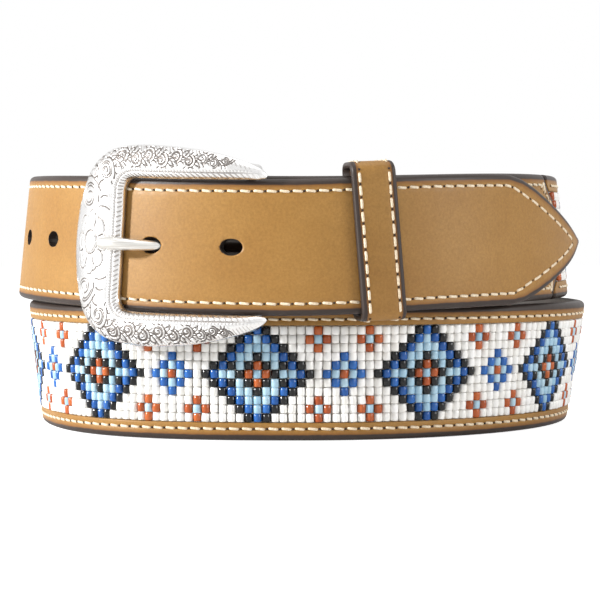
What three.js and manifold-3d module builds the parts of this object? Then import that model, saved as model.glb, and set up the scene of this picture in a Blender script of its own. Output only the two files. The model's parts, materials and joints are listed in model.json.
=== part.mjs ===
import * as THREE from "three";
import Module from "manifold-3d";

// A beaded western belt, fastened and doubled into two turns, standing on its long edge.
// Millimetres, +Z up, the front of the belt faces -Y.
// The strap is one long path that winds round twice: the upper turn shows the buckle and the
// billet, the lower turn shows the beads, and the two ends cross over each other at the back.

const wasm = await Module();
wasm.setup();

// Strap leather
const beltWidth = 38.1;
const tanThickness = 1.9;
const liningThickness = 1.6;
const layerGap = 0.3;
const edgeChamfer = 0.5;

// Half axes of the two turns, seen from above, at the outer face of the strap
const outerTurnHalfWidth = 88.1;
const lowerRightSpread = 0.5;
const lowerLeftInset = 3.5;
const tabInset = 4.2;
const billetHalfDepth = 90.7;
const lowerTurnSetback = 1;
const outerBackHalfDepth = 66.6;
const backInset = 5.2;
const tipLift = 1.5;

// How far the lower turn's left front bulges past an ellipse, as a share of its radius
const lowerLeftFullness = 0.06;

// Where the strap goes down to the lower turn and comes up again, in degrees of turn
const descentStart = 110;
const climbStart = 470;
const slopeTurns = 140;

// Clear height between the two turns at the sides, and the drops at the front
const turnClearance = 1.15;
const billetDrop = 2.6;
const tabDrop = 2.1;

// The billet's slight wave: a dip at the buckle, a rise by the keeper, a droop at the tip
const billetDip = 0.5;
const billetRise = 1.1;
const tipDroop = 2;

// Lean of the strap in its section, in degrees
const upperLean = -5.9;
const lowerRightLean = 9;
const lowerLeftLean = 6.6;

// Distances along the path, from the front middle of the billet
const billetTip = -119;
const billetTipTaper = 50;
const barAlongBillet = 13.8;
const firstHole = 19.4;
const holePitch = 22.8;
const holeCount = 5;
const holeLength = 6.6;
const holeWidth = 4.7;
const pinHole = 1;
const pinHoleLength = 7;
const pinHolePull = 1.9;
const pinHoleTravel = 4.4;

// Overlays and bead window
const billetInnerEnd = 172;
const tabLength = 128;
const turnedLength = 86;
const liningShortOfBar = 8;
const beadBandWidth = 27.4;
const beadBandThickness = 2.2;
const windowGap = 0.3;
const stationStep = 8;

// Half width of the billet's point over half the belt, against the share of its taper
const tipOutline = [
  [0, 0.047],
  [0.03, 0.1],
  [0.1, 0.175],
  [0.26, 0.34],
  [0.54, 0.62],
  [0.74, 0.825],
  [0.88, 0.945],
  [1, 1],
];

// Half width of an overlay's bracket shaped end, against the distance from its point
const bracketEnd = [
  [0, 0.9],
  [3, 2.4],
  [6.5, 5],
  [9.5, 8.6],
  [12, 12.4],
  [15, 14.2],
  [18, 17],
  [20, 19.05],
];

// Keeper
const keeperWidth = 12.7;
const keeperWall = 1.8;
const keeperAlong = -22;
const keeperTilt = 0.041;
const keeperRise = 1.1;
const keeperHalfOpening = 20.6;
const keeperSlack = 0.4;

// Buckle
const barDiameter = 4;
const barReach = 22;
const postDiameter = 3;
const frameStandOff = 0.5;
const frameRim = 1.4;
const tongueEyeWall = 1.5;
const tongueEyeWidth = 5;
const eyeSlotWidth = 6.2;

// The frame's outline from the bar, half of it: outer s, outer w, inner s, inner w, crown height
const frameHalf = [
  [-4.9, 20.1, -4.3, 19.2, 1.2],
  [-3.4, 21.6, -2.2, 18.9, 2.2],
  [0.4, 23.5, 0.8, 18.9, 3],
  [6, 25.3, 6, 18.9, 3.5],
  [13, 26.9, 13, 18.9, 3.8],
  [21, 27.9, 21, 18.9, 4],
  [29, 28.4, 28, 18.9, 4.1],
  [36, 28.3, 34.4, 18.9, 4.2],
  [42.5, 27.4, 37.2, 18.5, 4.3],
  [47.8, 25.1, 38.8, 17.1, 4.4],
  [52.2, 20.9, 39.4, 15, 4.5],
  [55, 15.2, 39.4, 11.4, 4.5],
  [56.9, 8, 39.4, 6.2, 4.5],
  [57.6, 0, 39.4, 0, 4.5],
];
const frameCentre = -0.1;
const frameSplits = 2;

// The tongue's middle line from the bar: along the billet, height over its face, radius
const tonguePath = [
  [2.4, -6.7, 1.5],
  [9, -6.3, 1.5],
  [17.5, -6, 1.45],
  [23.2, -5.3, 1.45],
  [27.1, -2.7, 1.45],
  [30.9, 0.6, 1.5],
  [34.6, 3.3, 1.7],
  [38.8, 5.4, 1.9],
  [42.6, 6, 1.9],
  [43.9, 6, 1.2],
];

// Raised work on the frame's left side: a flower boss with petals, and a rope along the inner edge
const flowerBoss = [3.2, 2.6, 1.1];
const petalCount = 8;
const petalReach = 4.6;
const petalSize = [1.5, 1, 0.7];
const ropeRadius = 0.55;
const ropeInset = 0.09;

const halfBelt = beltWidth / 2;
const liningDepth = tanThickness + layerGap;
const strapThickness = liningDepth + liningThickness;
const tabHalfDepth = billetHalfDepth - strapThickness - layerGap;
const keeperContents = 2 * (strapThickness + layerGap) + tanThickness + keeperSlack;
const lowerHalfDepth = billetHalfDepth - keeperContents - keeperWall - lowerTurnSetback;
const lowerRightHalfWidth = outerTurnHalfWidth + lowerRightSpread;
const lowerLeftHalfWidth = outerTurnHalfWidth - lowerLeftInset;
const tabHalfWidth = outerTurnHalfWidth - tabInset;
const innerBackHalfDepth = outerBackHalfDepth - backInset;
const upperSideHeight = beltWidth + turnClearance + halfBelt;
const foldOuterRadius = barDiameter / 2 + layerGap + tanThickness;
const turnedDepth = strapThickness + layerGap;
const barDepth = foldOuterRadius;

function smooth(t) {
  const u = Math.min(1, Math.max(0, t));
  return u * u * (3 - 2 * u);
}

// Turns in degrees run from 0 at the front of the billet to 720 at the front of the tab.
function lean(turn) {
  const side = Math.max(0, (Math.sin(THREE.MathUtils.degToRad(turn)) ** 2 - 0.05) / 0.95);
  let most = upperLean;
  if (turn >= 180 && turn < 360) most = lowerRightLean;
  if (turn >= 360 && turn < 540) most = lowerLeftLean;
  return THREE.MathUtils.degToRad(most * side);
}

function heightAt(turn) {
  const cos = Math.cos(THREE.MathUtils.degToRad(turn));
  const rest = halfBelt * Math.cos(lean(turn)) - edgeChamfer * Math.sin(lean(turn));
  const down = smooth((turn - descentStart) / slopeTurns);
  const up = smooth((turn - climbStart) / slopeTurns);
  if (turn < 90) return upperSideHeight - billetDrop * cos ** 2 + billetWave(turn);
  if (turn < 270) return THREE.MathUtils.lerp(upperSideHeight, rest, down);
  if (turn < 630) return THREE.MathUtils.lerp(rest, upperSideHeight, up);
  return upperSideHeight - tabDrop * cos ** 4;
}

function billetWave(turn) {
  const dip = billetDip * smooth((45 - turn) / 20);
  const rise = billetRise * smooth((5 - turn) / 35);
  const droop = tipDroop * smooth((-turn - 38) / 36);
  return rise - dip - droop;
}

// Half width of the two turns: the strap comes in under itself as it winds round.
function halfWidthAt(turn) {
  if (turn < 90) return outerTurnHalfWidth;
  const toRight = smooth((turn - 90) / 180);
  const toLeft = smooth((turn - 270) / 180);
  if (turn < 270) return THREE.MathUtils.lerp(outerTurnHalfWidth, lowerRightHalfWidth, toRight);
  if (turn < 450) return THREE.MathUtils.lerp(lowerRightHalfWidth, lowerLeftHalfWidth, toLeft);
  return THREE.MathUtils.lerp(lowerLeftHalfWidth, tabHalfWidth, smooth((turn - 450) / 60));
}

function pathPoint(turn) {
  const lift = tipLift * smooth((-turn - 45) / 35);
  const halfWidth = halfWidthAt(turn) + lift;
  let halfDepth = billetHalfDepth + lift;
  if (turn >= 90) halfDepth = outerBackHalfDepth;
  if (turn >= 270) halfDepth = lowerHalfDepth;
  if (turn >= 450) halfDepth = innerBackHalfDepth;
  if (turn >= 630) halfDepth = tabHalfDepth;
  const angle = THREE.MathUtils.degToRad(turn);
  const leftFront = turn > 360 && turn < 450 ? Math.sin(2 * angle) ** 2 * (1 + 0.5 * Math.cos(2 * angle)) : 0;
  const full = 1 + lowerLeftFullness * leftFront;
  const x = -halfWidth * full * Math.sin(angle);
  const y = -halfDepth * full * Math.cos(angle);
  return new THREE.Vector3(x, y, heightAt(turn));
}

// The path in half degree steps, with the distance run at each
const firstTurn = -100;
const tabFront = 720;
const lastTurn = tabFront + 25;
const turnStep = 0.5;
const samples = [];
for (let turn = firstTurn; turn <= lastTurn; turn += turnStep) {
  const point = pathPoint(turn);
  const last = samples.at(-1);
  const run = last ? last.run + point.distanceTo(last.point) : 0;
  samples.push({ turn, point, run });
}
const runAtFront = samples.find((sample) => sample.turn === 0).run;
samples.forEach((sample) => {
  sample.run -= runAtFront;
});

function sampleAt(run) {
  let low = 0;
  let high = samples.length - 1;
  while (high - low > 1) {
    const middle = (low + high) >> 1;
    if (samples[middle].run > run) high = middle;
    else low = middle;
  }
  const a = samples[low];
  const b = samples[high];
  const share = (run - a.run) / (b.run - a.run);
  return {
    turn: THREE.MathUtils.lerp(a.turn, b.turn, share),
    point: a.point.clone().lerp(b.point, share),
  };
}

function runAtTurn(turn) {
  return samples.find((sample) => sample.turn >= turn).run;
}

// The strap's own axes at a distance along it: across the strap and out of its face.
function strapAxes(run) {
  const here = sampleAt(run);
  const ahead = sampleAt(run + 1).point.sub(sampleAt(run - 1).point).normalize();
  const out = new THREE.Vector3(0, 0, 1).cross(ahead).normalize();
  const across = ahead.clone().cross(out);
  const angle = lean(here.turn);
  const leanAcross = across.clone().multiplyScalar(Math.cos(angle)).addScaledVector(out, Math.sin(angle));
  const leanOut = out.clone().multiplyScalar(Math.cos(angle)).addScaledVector(across, -Math.sin(angle));
  return { point: here.point, ahead, across: leanAcross, out: leanOut };
}

// A point on the strap: along it, across it from the middle line, and over its outer face.
function onStrap(along, across, over) {
  const axes = strapAxes(along);
  return axes.point.addScaledVector(axes.across, across).addScaledVector(axes.out, over);
}

// A closed body from rings of points, each ring joined to the next and the two ends capped.
function loft(rings) {
  const count = rings[0].length;
  const position = rings.flat().flatMap((point) => point.toArray());
  const index = [];
  for (let r = 0; r < rings.length - 1; r++) {
    for (let k = 0; k < count; k++) {
      const a = r * count + k;
      const b = r * count + ((k + 1) % count);
      index.push(a, b, b + count, a, b + count, a + count);
    }
  }
  const last = (rings.length - 1) * count;
  for (let k = 1; k < count - 1; k++) {
    index.push(0, k + 1, k);
    index.push(last, last + k, last + k + 1);
  }
  return solid(position, index);
}

// A manifold solid, with its faces turned outwards whichever way the rings ran.
function solid(position, index) {
  let volume = 0;
  for (let i = 0; i < index.length; i += 3) {
    const [a, b, c] = [0, 1, 2].map((k) => new THREE.Vector3().fromArray(position, index[i + k] * 3));
    volume += a.dot(b.cross(c));
  }
  const triVerts = Uint32Array.from(index);
  if (volume < 0) triVerts.reverse();
  const vertProperties = Float32Array.from(position);
  return new wasm.Manifold(new wasm.Mesh({ numProp: 3, vertProperties, triVerts }));
}

function stations(from, to) {
  const places = [from];
  const first = Math.ceil((from + 1) / stationStep);
  const last = Math.floor((to - 1) / stationStep);
  for (let k = first; k <= last; k++) places.push(k * stationStep);
  places.push(to);
  return places;
}

// One ring of a flat strip, with its two outer edges chamfered.
// place(w, t) gives the point at w across the strip and t down from its outer face.
function stripRing(low, high, thickness, place, chamferInside = false) {
  const cut = Math.min(edgeChamfer, (high - low) / 3);
  if (chamferInside) {
    return [
      place(low, 0),
      place(high, 0),
      place(high, thickness - cut),
      place(high - cut, thickness),
      place(low + cut, thickness),
      place(low, thickness - cut),
    ];
  }
  return [
    place(low + cut, 0),
    place(high - cut, 0),
    place(high, cut),
    place(high, thickness),
    place(low, thickness),
    place(low, cut),
  ];
}

function table(rows, x) {
  if (x <= rows[0][0]) return rows[0][1];
  for (let k = 1; k < rows.length; k++) {
    if (x <= rows[k][0]) {
      const share = (x - rows[k - 1][0]) / (rows[k][0] - rows[k - 1][0]);
      return THREE.MathUtils.lerp(rows[k - 1][1], rows[k][1], share);
    }
  }
  return rows.at(-1)[1];
}

// Half width of the billet at a distance from its tip
function tipHalfWidth(fromTip) {
  return halfBelt * table(tipOutline, fromTip / billetTipTaper);
}

function bracketHalfWidth(fromPoint) {
  return table(bracketEnd, fromPoint);
}

// The bar lies in the fold of the tab, straight behind the billet.
const barPoint = onStrap(barAlongBillet, 0, -(strapThickness + layerGap + barDepth));
const barAlongTab = nearestRun(barPoint, runAtTurn(tabFront - 20), runAtTurn(lastTurn - 1));
const tabEnd = barAlongTab - tabLength;

function nearestRun(point, from, to) {
  let best = from;
  for (let run = from; run < to; run += 0.25) {
    const here = onStrap(run, 0, -barDepth).distanceTo(point);
    if (here < onStrap(best, 0, -barDepth).distanceTo(point)) best = run;
  }
  return best;
}

function tipStations(from) {
  const shares = [0, 0.015, 0.03, 0.06, 0.1, 0.17, 0.26, 0.4, 0.54, 0.64, 0.74, 0.88, 1];
  return shares.map((share) => from + share * billetTipTaper);
}

function endStations(point, direction) {
  return bracketEnd.map(([x]) => point + direction * x);
}

function ovalHole(along, length, travel) {
  const over = 1.5;
  const depth = strapThickness + over;
  const shift = travel / strapThickness;
  const rings = [over, -depth].map((height) => {
    const ring = [];
    for (let k = 0; k < 12; k++) {
      const angle = (k / 12) * 2 * Math.PI;
      const s = along + (length / 2) * Math.cos(angle) + shift * height;
      ring.push(onStrap(s, (holeWidth / 2) * Math.sin(angle), height));
    }
    return ring;
  });
  return loft(rings);
}

function allHoles() {
  const cuts = [];
  for (let k = 0; k < holeCount; k++) {
    const worn = k === pinHole;
    const along = firstHole + k * holePitch + (worn ? pinHolePull : 0);
    cuts.push(ovalHole(along, worn ? pinHoleLength : holeLength, worn ? pinHoleTravel : 0));
  }
  return wasm.Manifold.union(cuts);
}

// The dark lining runs the whole length, from the tip to just short of the bar.
function makeLining() {
  const end = barAlongTab - liningShortOfBar;
  const places = [...tipStations(billetTip), ...stations(billetTip + billetTipTaper, end).slice(1)];
  const rings = places.map((along) => {
    const half = tipHalfWidth(along - billetTip);
    const place = (w, t) => onStrap(along, w, -liningDepth - t);
    return stripRing(-half, half, liningThickness, place, true);
  });
  return loft(rings).subtract(allHoles());
}

// The tan billet, from the pointed tip to its bracket end at the back left.
function makeBillet() {
  const places = [
    ...tipStations(billetTip),
    ...stations(billetTip + billetTipTaper, billetInnerEnd - 20).slice(1, -1),
    ...endStations(billetInnerEnd, -1).reverse(),
  ];
  const rings = places.map((along) => {
    const half = Math.min(tipHalfWidth(along - billetTip), bracketHalfWidth(billetInnerEnd - along));
    return stripRing(-half, half, tanThickness, (w, t) => onStrap(along, w, -t));
  });
  return loft(rings).subtract(allHoles());
}

// The tan buckle tab, from its bracket end, round the bar, to its turned back end.
function makeBuckleTab() {
  const rings = [];
  const outer = [...endStations(tabEnd, 1), ...stations(tabEnd + 20, barAlongTab).slice(1)];
  for (const along of outer) {
    const half = bracketHalfWidth(along - tabEnd);
    rings.push(stripRing(-half, half, tanThickness, (w, t) => onStrap(along, w, -t)));
  }
  for (let k = 1; k <= 8; k++) {
    const angle = (k / 8) * Math.PI;
    const place = (w, t) => {
      const radius = foldOuterRadius - t;
      return onStrap(barAlongTab + radius * Math.sin(angle), w, radius * Math.cos(angle) - barDepth);
    };
    rings.push(stripRing(-halfBelt, halfBelt, tanThickness, place));
  }
  const deepest = 2 * foldOuterRadius - tanThickness;
  const turned = stations(barAlongTab - turnedLength, barAlongTab).reverse().slice(1);
  for (const along of turned) {
    const near = smooth((along - barAlongTab + 22) / 22);
    const depth = THREE.MathUtils.lerp(turnedDepth, deepest, near);
    const place = (w, t) => onStrap(along, w, t - depth - tanThickness);
    rings.push(stripRing(-halfBelt, halfBelt, tanThickness, place));
  }
  const slotDepth = 2 * barDepth + layerGap + tanThickness;
  const slot = block(barAlongTab - 5, barAlongTab + 6, eyeSlotWidth / 2, 1, -slotDepth);
  return loft(rings).subtract(slot);
}

// The buckle's middle lies this far across the tab's own middle line.
const barCentre = onBuckle(0, 0, -strapThickness - layerGap - barDepth)
  .sub(onStrap(barAlongTab, 0, -barDepth))
  .dot(strapAxes(barAlongTab).across);

// A straight sided block in the strap's axes, centred on the buckle's middle, for cutting
function block(from, to, half, top, bottom) {
  const middle = strapAxes((from + to) / 2);
  const ring = (s) =>
    [
      [-half, bottom],
      [half, bottom],
      [half, top],
      [-half, top],
    ].map(([w, h]) =>
      middle.point
        .clone()
        .addScaledVector(middle.ahead, s - (from + to) / 2)
        .addScaledVector(middle.across, w + barCentre)
        .addScaledVector(middle.out, h),
    );
  return loft([ring(from), ring(to)]);
}

const windowHalf = beadBandWidth / 2 + windowGap;
const billetShoulder = billetInnerEnd - 17;
const tabShoulder = tabEnd + 17;

// Half width of whichever overlay end lies at this distance, or nothing between them
function overlayHalf(along) {
  const nearBillet = billetInnerEnd - along;
  const nearTab = along - tabEnd;
  const half = Math.max(
    nearBillet > 0 ? bracketHalfWidth(nearBillet) : 0,
    nearTab > 0 ? bracketHalfWidth(nearTab) : 0,
  );
  return half;
}

// A tan margin beside the beads, side +1 for the top and -1 for the bottom.
function makeBorder(side) {
  const corners = [...endStations(billetInnerEnd, -1), ...endStations(tabEnd, 1)];
  const places = [...stations(billetShoulder, tabShoulder), ...corners]
    .filter((along) => along >= billetShoulder && along <= tabShoulder)
    .sort((a, b) => a - b);
  const rings = [...new Set(places)].map((along) => {
    const inner = Math.max(windowHalf, overlayHalf(along) + windowGap);
    const place = (w, t) => onStrap(along, side * w, -t);
    return stripRing(inner, halfBelt, tanThickness, place);
  });
  return loft(rings);
}

// The woven bead band, one solid in the window between the margins.
function makeBeadPanel() {
  const half = beadBandWidth / 2;
  const proud = beadBandThickness - tanThickness;
  const from = billetInnerEnd - 11;
  const to = tabEnd + 11;
  const rings = stations(from, to).map((along) =>
    stripRing(-half, half, beadBandThickness, (w, t) => onStrap(along, w, proud - t)),
  );
  const ends = [
    [billetInnerEnd, -1],
    [tabEnd, 1],
  ].map(([point, direction]) => {
    const places = [-windowGap, ...bracketEnd.map(([x]) => x)];
    const clear = places.map((x) => {
      const half = bracketHalfWidth(x) + windowGap;
      const along = point + direction * x;
      return stripRing(-half, half, 5, (w, t) => onStrap(along, w, 2 - t));
    });
    return loft(clear);
  });
  return loft(rings).subtract(wasm.Manifold.union(ends));
}

// The keeper: a closed leather loop round the billet and the whole tab.
function makeKeeper() {
  const top = keeperSlack;
  const bottom = -(strapThickness + layerGap + turnedDepth + tanThickness + keeperSlack);
  const outline = (grow) => {
    const w = keeperHalfOpening + grow;
    const r = grow + 1;
    const shape = [
      [-w + r, bottom - grow],
      [w - r, bottom - grow],
      [w - r / 3, bottom - grow + r / 3],
      [w, bottom - grow + r],
      [w, top + grow - r],
      [w - r / 3, top + grow - r / 3],
      [w - r, top + grow],
      [-w + r, top + grow],
      [-w + r / 3, top + grow - r / 3],
      [-w, top + grow - r],
      [-w, bottom - grow + r],
      [-w + r / 3, bottom - grow + r / 3],
    ];
    return shape;
  };
  const ringAt = (along, grow) =>
    outline(grow).map(([w, h]) => onStrap(along + keeperTilt * w, w + keeperRise, h));
  const spread = (width) => [0, 0.5, 1].map((share) => keeperAlong + (share - 0.5) * width);
  const body = loft(spread(keeperWidth).map((along) => ringAt(along, keeperWall)));
  return body.subtract(loft(spread(keeperWidth + 4).map((along) => ringAt(along, 0))));
}

// A point on the buckle: along the billet from the bar, across, and over the billet's face
function onBuckle(along, across, over) {
  return onStrap(barAlongBillet + along, across + frameCentre, over);
}

function frameRows() {
  const half = frameHalf.map((row) => new THREE.Vector3(row[0], row[1], 0));
  const inner = frameHalf.map((row) => new THREE.Vector3(row[2], row[3], row[4]));
  const flip = (point) => new THREE.Vector3(point.x, -point.y, point.z);
  const whole = (points) => [...points, ...points.slice(0, -1).reverse().map(flip)];
  const count = (2 * frameHalf.length - 2) * frameSplits;
  const outerCurve = new THREE.CatmullRomCurve3(whole(half));
  const innerCurve = new THREE.CatmullRomCurve3(whole(inner));
  const rows = [];
  for (let k = 0; k <= count; k++) {
    rows.push({ outer: outerCurve.getPoint(k / count), inner: innerCurve.getPoint(k / count) });
  }
  return rows;
}

// Height of the domed frame over the billet at a share of the way from inner to outer edge
function domeHeight(share, crown) {
  const rise = Math.sin(Math.PI * Math.min(1, Math.max(0, share))) ** 0.6;
  const rim = Math.min(frameRim, crown * 0.6);
  return frameStandOff + rim + (crown - rim) * rise;
}

function onFrame(row, share, lift) {
  const s = THREE.MathUtils.lerp(row.inner.x, row.outer.x, share);
  const w = THREE.MathUtils.lerp(row.inner.y, row.outer.y, share);
  return onBuckle(s, w, domeHeight(share, row.inner.z) + lift);
}

function rod(from, to, radius, sides = 16) {
  const ahead = to.clone().sub(from).normalize();
  const side = new THREE.Vector3(0, 1, 0).cross(ahead);
  if (side.length() < 0.1) side.set(1, 0, 0).cross(ahead);
  side.normalize();
  const up = ahead.clone().cross(side);
  const ring = (centre) =>
    Array.from({ length: sides }, (_, k) => {
      const angle = (k / sides) * 2 * Math.PI;
      return centre
        .clone()
        .addScaledVector(side, radius * Math.cos(angle))
        .addScaledVector(up, radius * Math.sin(angle));
    });
  return loft([ring(from), ring(to)]);
}

// A low oval dome set into the frame's face
function raisedOval(row, share, size, turned) {
  const rings = [];
  for (let k = 0; k <= 2; k++) {
    const level = Math.cos((k / 2) * 1.3);
    const lift = size[2] * Math.sin((k / 2) * 1.3);
    const s = THREE.MathUtils.lerp(row.inner.x, row.outer.x, share);
    const w = THREE.MathUtils.lerp(row.inner.y, row.outer.y, share);
    const base = domeHeight(share, row.inner.z);
    rings.push(
      Array.from({ length: 10 }, (_, j) => {
        const angle = (j / 10) * 2 * Math.PI;
        const a = size[0] * level * Math.cos(angle);
        const b = size[1] * level * Math.sin(angle);
        const ds = a * Math.cos(turned) - b * Math.sin(turned);
        const dw = a * Math.sin(turned) + b * Math.cos(turned);
        return onBuckle(s + ds, w + dw, k === 0 ? base - 1.4 : base + lift - 0.15);
      }),
    );
  }
  return loft(rings);
}

// The cast buckle frame in one piece with its two posts and the bar.
function makeBuckleFrame() {
  const rows = frameRows();
  const shares = [0, 0.1, 0.28, 0.5, 0.72, 0.9, 1];
  const rings = rows.map((row) => {
    const top = shares.map((share) => onFrame(row, share, 0));
    const foot = [1, 0.5, 0].map((share) => {
      const s = THREE.MathUtils.lerp(row.inner.x, row.outer.x, share);
      const w = THREE.MathUtils.lerp(row.inner.y, row.outer.y, share);
      return onBuckle(s, w, frameStandOff);
    });
    return [...top, ...foot];
  });
  const parts = [loft(rings)];
  const bar = strapAxes(barAlongTab);
  const onBar = (side, depth) =>
    bar.point.clone().addScaledVector(bar.out, -depth).addScaledVector(bar.across, side * barReach + barCentre);
  parts.push(rod(onBar(1, barDepth), onBar(-1, barDepth), barDiameter / 2));
  for (const side of [1, -1]) {
    const head = onBuckle(0.6, side * barReach, frameStandOff + 1.6);
    parts.push(rod(onBar(side, barDepth + 1.2), head, postDiameter / 2));
  }
  const middle = rows[(rows.length - 1) / 2];
  parts.push(raisedOval(middle, 0.56, flowerBoss, 0));
  for (let k = 0; k < petalCount; k++) {
    const angle = ((k + 0.5) / petalCount) * 2 * Math.PI;
    const share = 0.56 + (petalReach * Math.cos(angle)) / 18.2;
    const row = rowAtHeight(rows, petalReach * 1.35 * Math.sin(angle));
    parts.push(raisedOval(row, share, petalSize, angle));
  }
  const rope = rows.slice(3, -3).map((row) => onFrame(row, ropeInset, -0.1));
  parts.push(ridge(rope, ropeRadius));
  return wasm.Manifold.union(parts);
}

// The frame's row whose middle lies nearest this height on the left side
function rowAtHeight(rows, across) {
  const left = rows.filter((row) => row.inner.x > 39);
  return left.reduce((best, row) => {
    const here = Math.abs((row.inner.y + row.outer.y) / 2 - across);
    const there = Math.abs((best.inner.y + best.outer.y) / 2 - across);
    return here < there ? row : best;
  });
}

// A round ridge along a line of points
function ridge(points, radius, sides = 4) {
  const rings = points.map((point, k) => {
    const before = points[Math.max(0, k - 1)];
    const after = points[Math.min(points.length - 1, k + 1)];
    const ahead = after.clone().sub(before).normalize();
    const side = new THREE.Vector3(0, -1, 0.02).cross(ahead).normalize();
    const up = ahead.clone().cross(side);
    return Array.from({ length: sides }, (_, j) => {
      const angle = (j / sides) * 2 * Math.PI;
      return point
        .clone()
        .addScaledVector(side, radius * Math.cos(angle))
        .addScaledVector(up, radius * Math.sin(angle));
    });
  });
  return loft(rings);
}

// The tongue: an eye round the bar and a round shank through the hole, resting on the frame.
function makeTongue() {
  const curve = new THREE.CatmullRomCurve3(tonguePath.map(([s, h, r]) => new THREE.Vector3(s, h, r)));
  const points = curve.getPoints(20);
  const line = points.map((point) => onStrap(barAlongBillet + point.x, frameCentre, point.y));
  const rings = line.map((point, k) => {
    const before = line[Math.max(0, k - 1)];
    const after = line[Math.min(line.length - 1, k + 1)];
    const ahead = after.clone().sub(before).normalize();
    const across = strapAxes(barAlongBillet + points[k].x).across;
    const out = ahead.clone().cross(across).normalize();
    return Array.from({ length: 10 }, (_, j) => {
      const angle = (j / 10) * 2 * Math.PI;
      return point
        .clone()
        .addScaledVector(across, points[k].z * Math.cos(angle))
        .addScaledVector(out, points[k].z * Math.sin(angle));
    });
  });
  const bar = strapAxes(barAlongTab);
  const centre = bar.point.clone().addScaledVector(bar.out, -barDepth).addScaledVector(bar.across, barCentre);
  const end = (half) => centre.clone().addScaledVector(bar.across, half);
  const innerRadius = barDiameter / 2 + layerGap;
  const half = tongueEyeWidth / 2;
  const eye = rod(end(half), end(-half), innerRadius + tongueEyeWall, 20);
  const bore = rod(end(half + 2), end(-half - 2), innerRadius, 20);
  return loft(rings).add(eye).subtract(bore);
}

function geometryOf(body) {
  const mesh = body.getMesh();
  const geometry = new THREE.BufferGeometry();
  geometry.setAttribute("position", new THREE.BufferAttribute(mesh.vertProperties, 3));
  geometry.setIndex(new THREE.BufferAttribute(mesh.triVerts, 1));
  geometry.computeVertexNormals();
  return geometry;
}

const tan = new THREE.MeshStandardMaterial({ color: 0xbc8a55, roughness: 0.5, metalness: 0 });
const dark = new THREE.MeshStandardMaterial({ color: 0x3d3834, roughness: 0.7, metalness: 0 });
const beads = new THREE.MeshStandardMaterial({ color: 0xf2f0ec, roughness: 0.25, metalness: 0 });
const silver = new THREE.MeshStandardMaterial({ color: 0xb9b6b0, roughness: 0.3, metalness: 1 });

const group = new THREE.Group();

function addNode(name, body, material) {
  const mesh = new THREE.Mesh(geometryOf(body), material);
  mesh.name = name;
  group.add(mesh);
}

addNode("lining", makeLining(), dark);
addNode("billet", makeBillet(), tan);
addNode("buckle_tab", makeBuckleTab(), tan);
addNode("top_border", makeBorder(1), tan);
addNode("bottom_border", makeBorder(-1), tan);
addNode("bead_panel", makeBeadPanel(), beads);
addNode("keeper", makeKeeper(), tan);
addNode("buckle_frame", makeBuckleFrame(), silver);
addNode("tongue", makeTongue(), silver);

// The box's bottom middle becomes the origin.
const box = new THREE.Box3().setFromObject(group);
const centre = box.getCenter(new THREE.Vector3());
group.position.set(-centre.x, -centre.y, -box.min.z);

export default group;
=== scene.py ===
import math

import bpy
import numpy as np
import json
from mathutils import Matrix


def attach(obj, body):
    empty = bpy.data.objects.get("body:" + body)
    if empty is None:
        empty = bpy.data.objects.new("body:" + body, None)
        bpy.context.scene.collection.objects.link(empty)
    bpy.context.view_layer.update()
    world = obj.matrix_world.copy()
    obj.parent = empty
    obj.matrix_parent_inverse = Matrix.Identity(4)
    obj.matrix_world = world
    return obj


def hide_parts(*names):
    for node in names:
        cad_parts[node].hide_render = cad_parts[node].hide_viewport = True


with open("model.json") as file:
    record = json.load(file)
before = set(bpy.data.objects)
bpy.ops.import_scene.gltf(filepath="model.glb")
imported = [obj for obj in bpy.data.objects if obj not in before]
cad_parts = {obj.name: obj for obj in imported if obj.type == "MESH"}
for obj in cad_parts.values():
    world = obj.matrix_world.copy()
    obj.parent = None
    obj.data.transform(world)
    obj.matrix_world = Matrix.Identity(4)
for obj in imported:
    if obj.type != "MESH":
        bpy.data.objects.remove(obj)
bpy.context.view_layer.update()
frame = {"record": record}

MM = 0.001

# Strap, in millimetres, as in the solids
BELT_WIDTH = 38.1
HALF_BELT = BELT_WIDTH / 2
TAN = 1.9
LINING = 1.6
GAP = 0.3
STRAP = TAN + GAP + LINING
OUTER_TURN, LOWER_RIGHT, LOWER_LEFT, TAB_TURN = 88.1, 88.6, 84.6, 83.9
BILLET_DEPTH, LOWER_DEPTH = 90.7, 77.4
OUTER_BACK, INNER_BACK = 66.6, 61.4
TAB_DEPTH = BILLET_DEPTH - STRAP - GAP
TIP_LIFT = 1.5
LOWER_LEFT_FULLNESS = 0.06
DESCENT_START, CLIMB_START, SLOPE_TURNS = 110, 470, 140
UPPER_SIDE = BELT_WIDTH + 1.15 + HALF_BELT
BILLET_DROP, TAB_DROP = 2.6, 2.1
BILLET_DIP, BILLET_RISE, TIP_DROOP = 0.5, 1.1, 2.0
UPPER_LEAN, LOWER_RIGHT_LEAN, LOWER_LEFT_LEAN = -5.9, 9.0, 6.6
CHAMFER = 0.5

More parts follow.
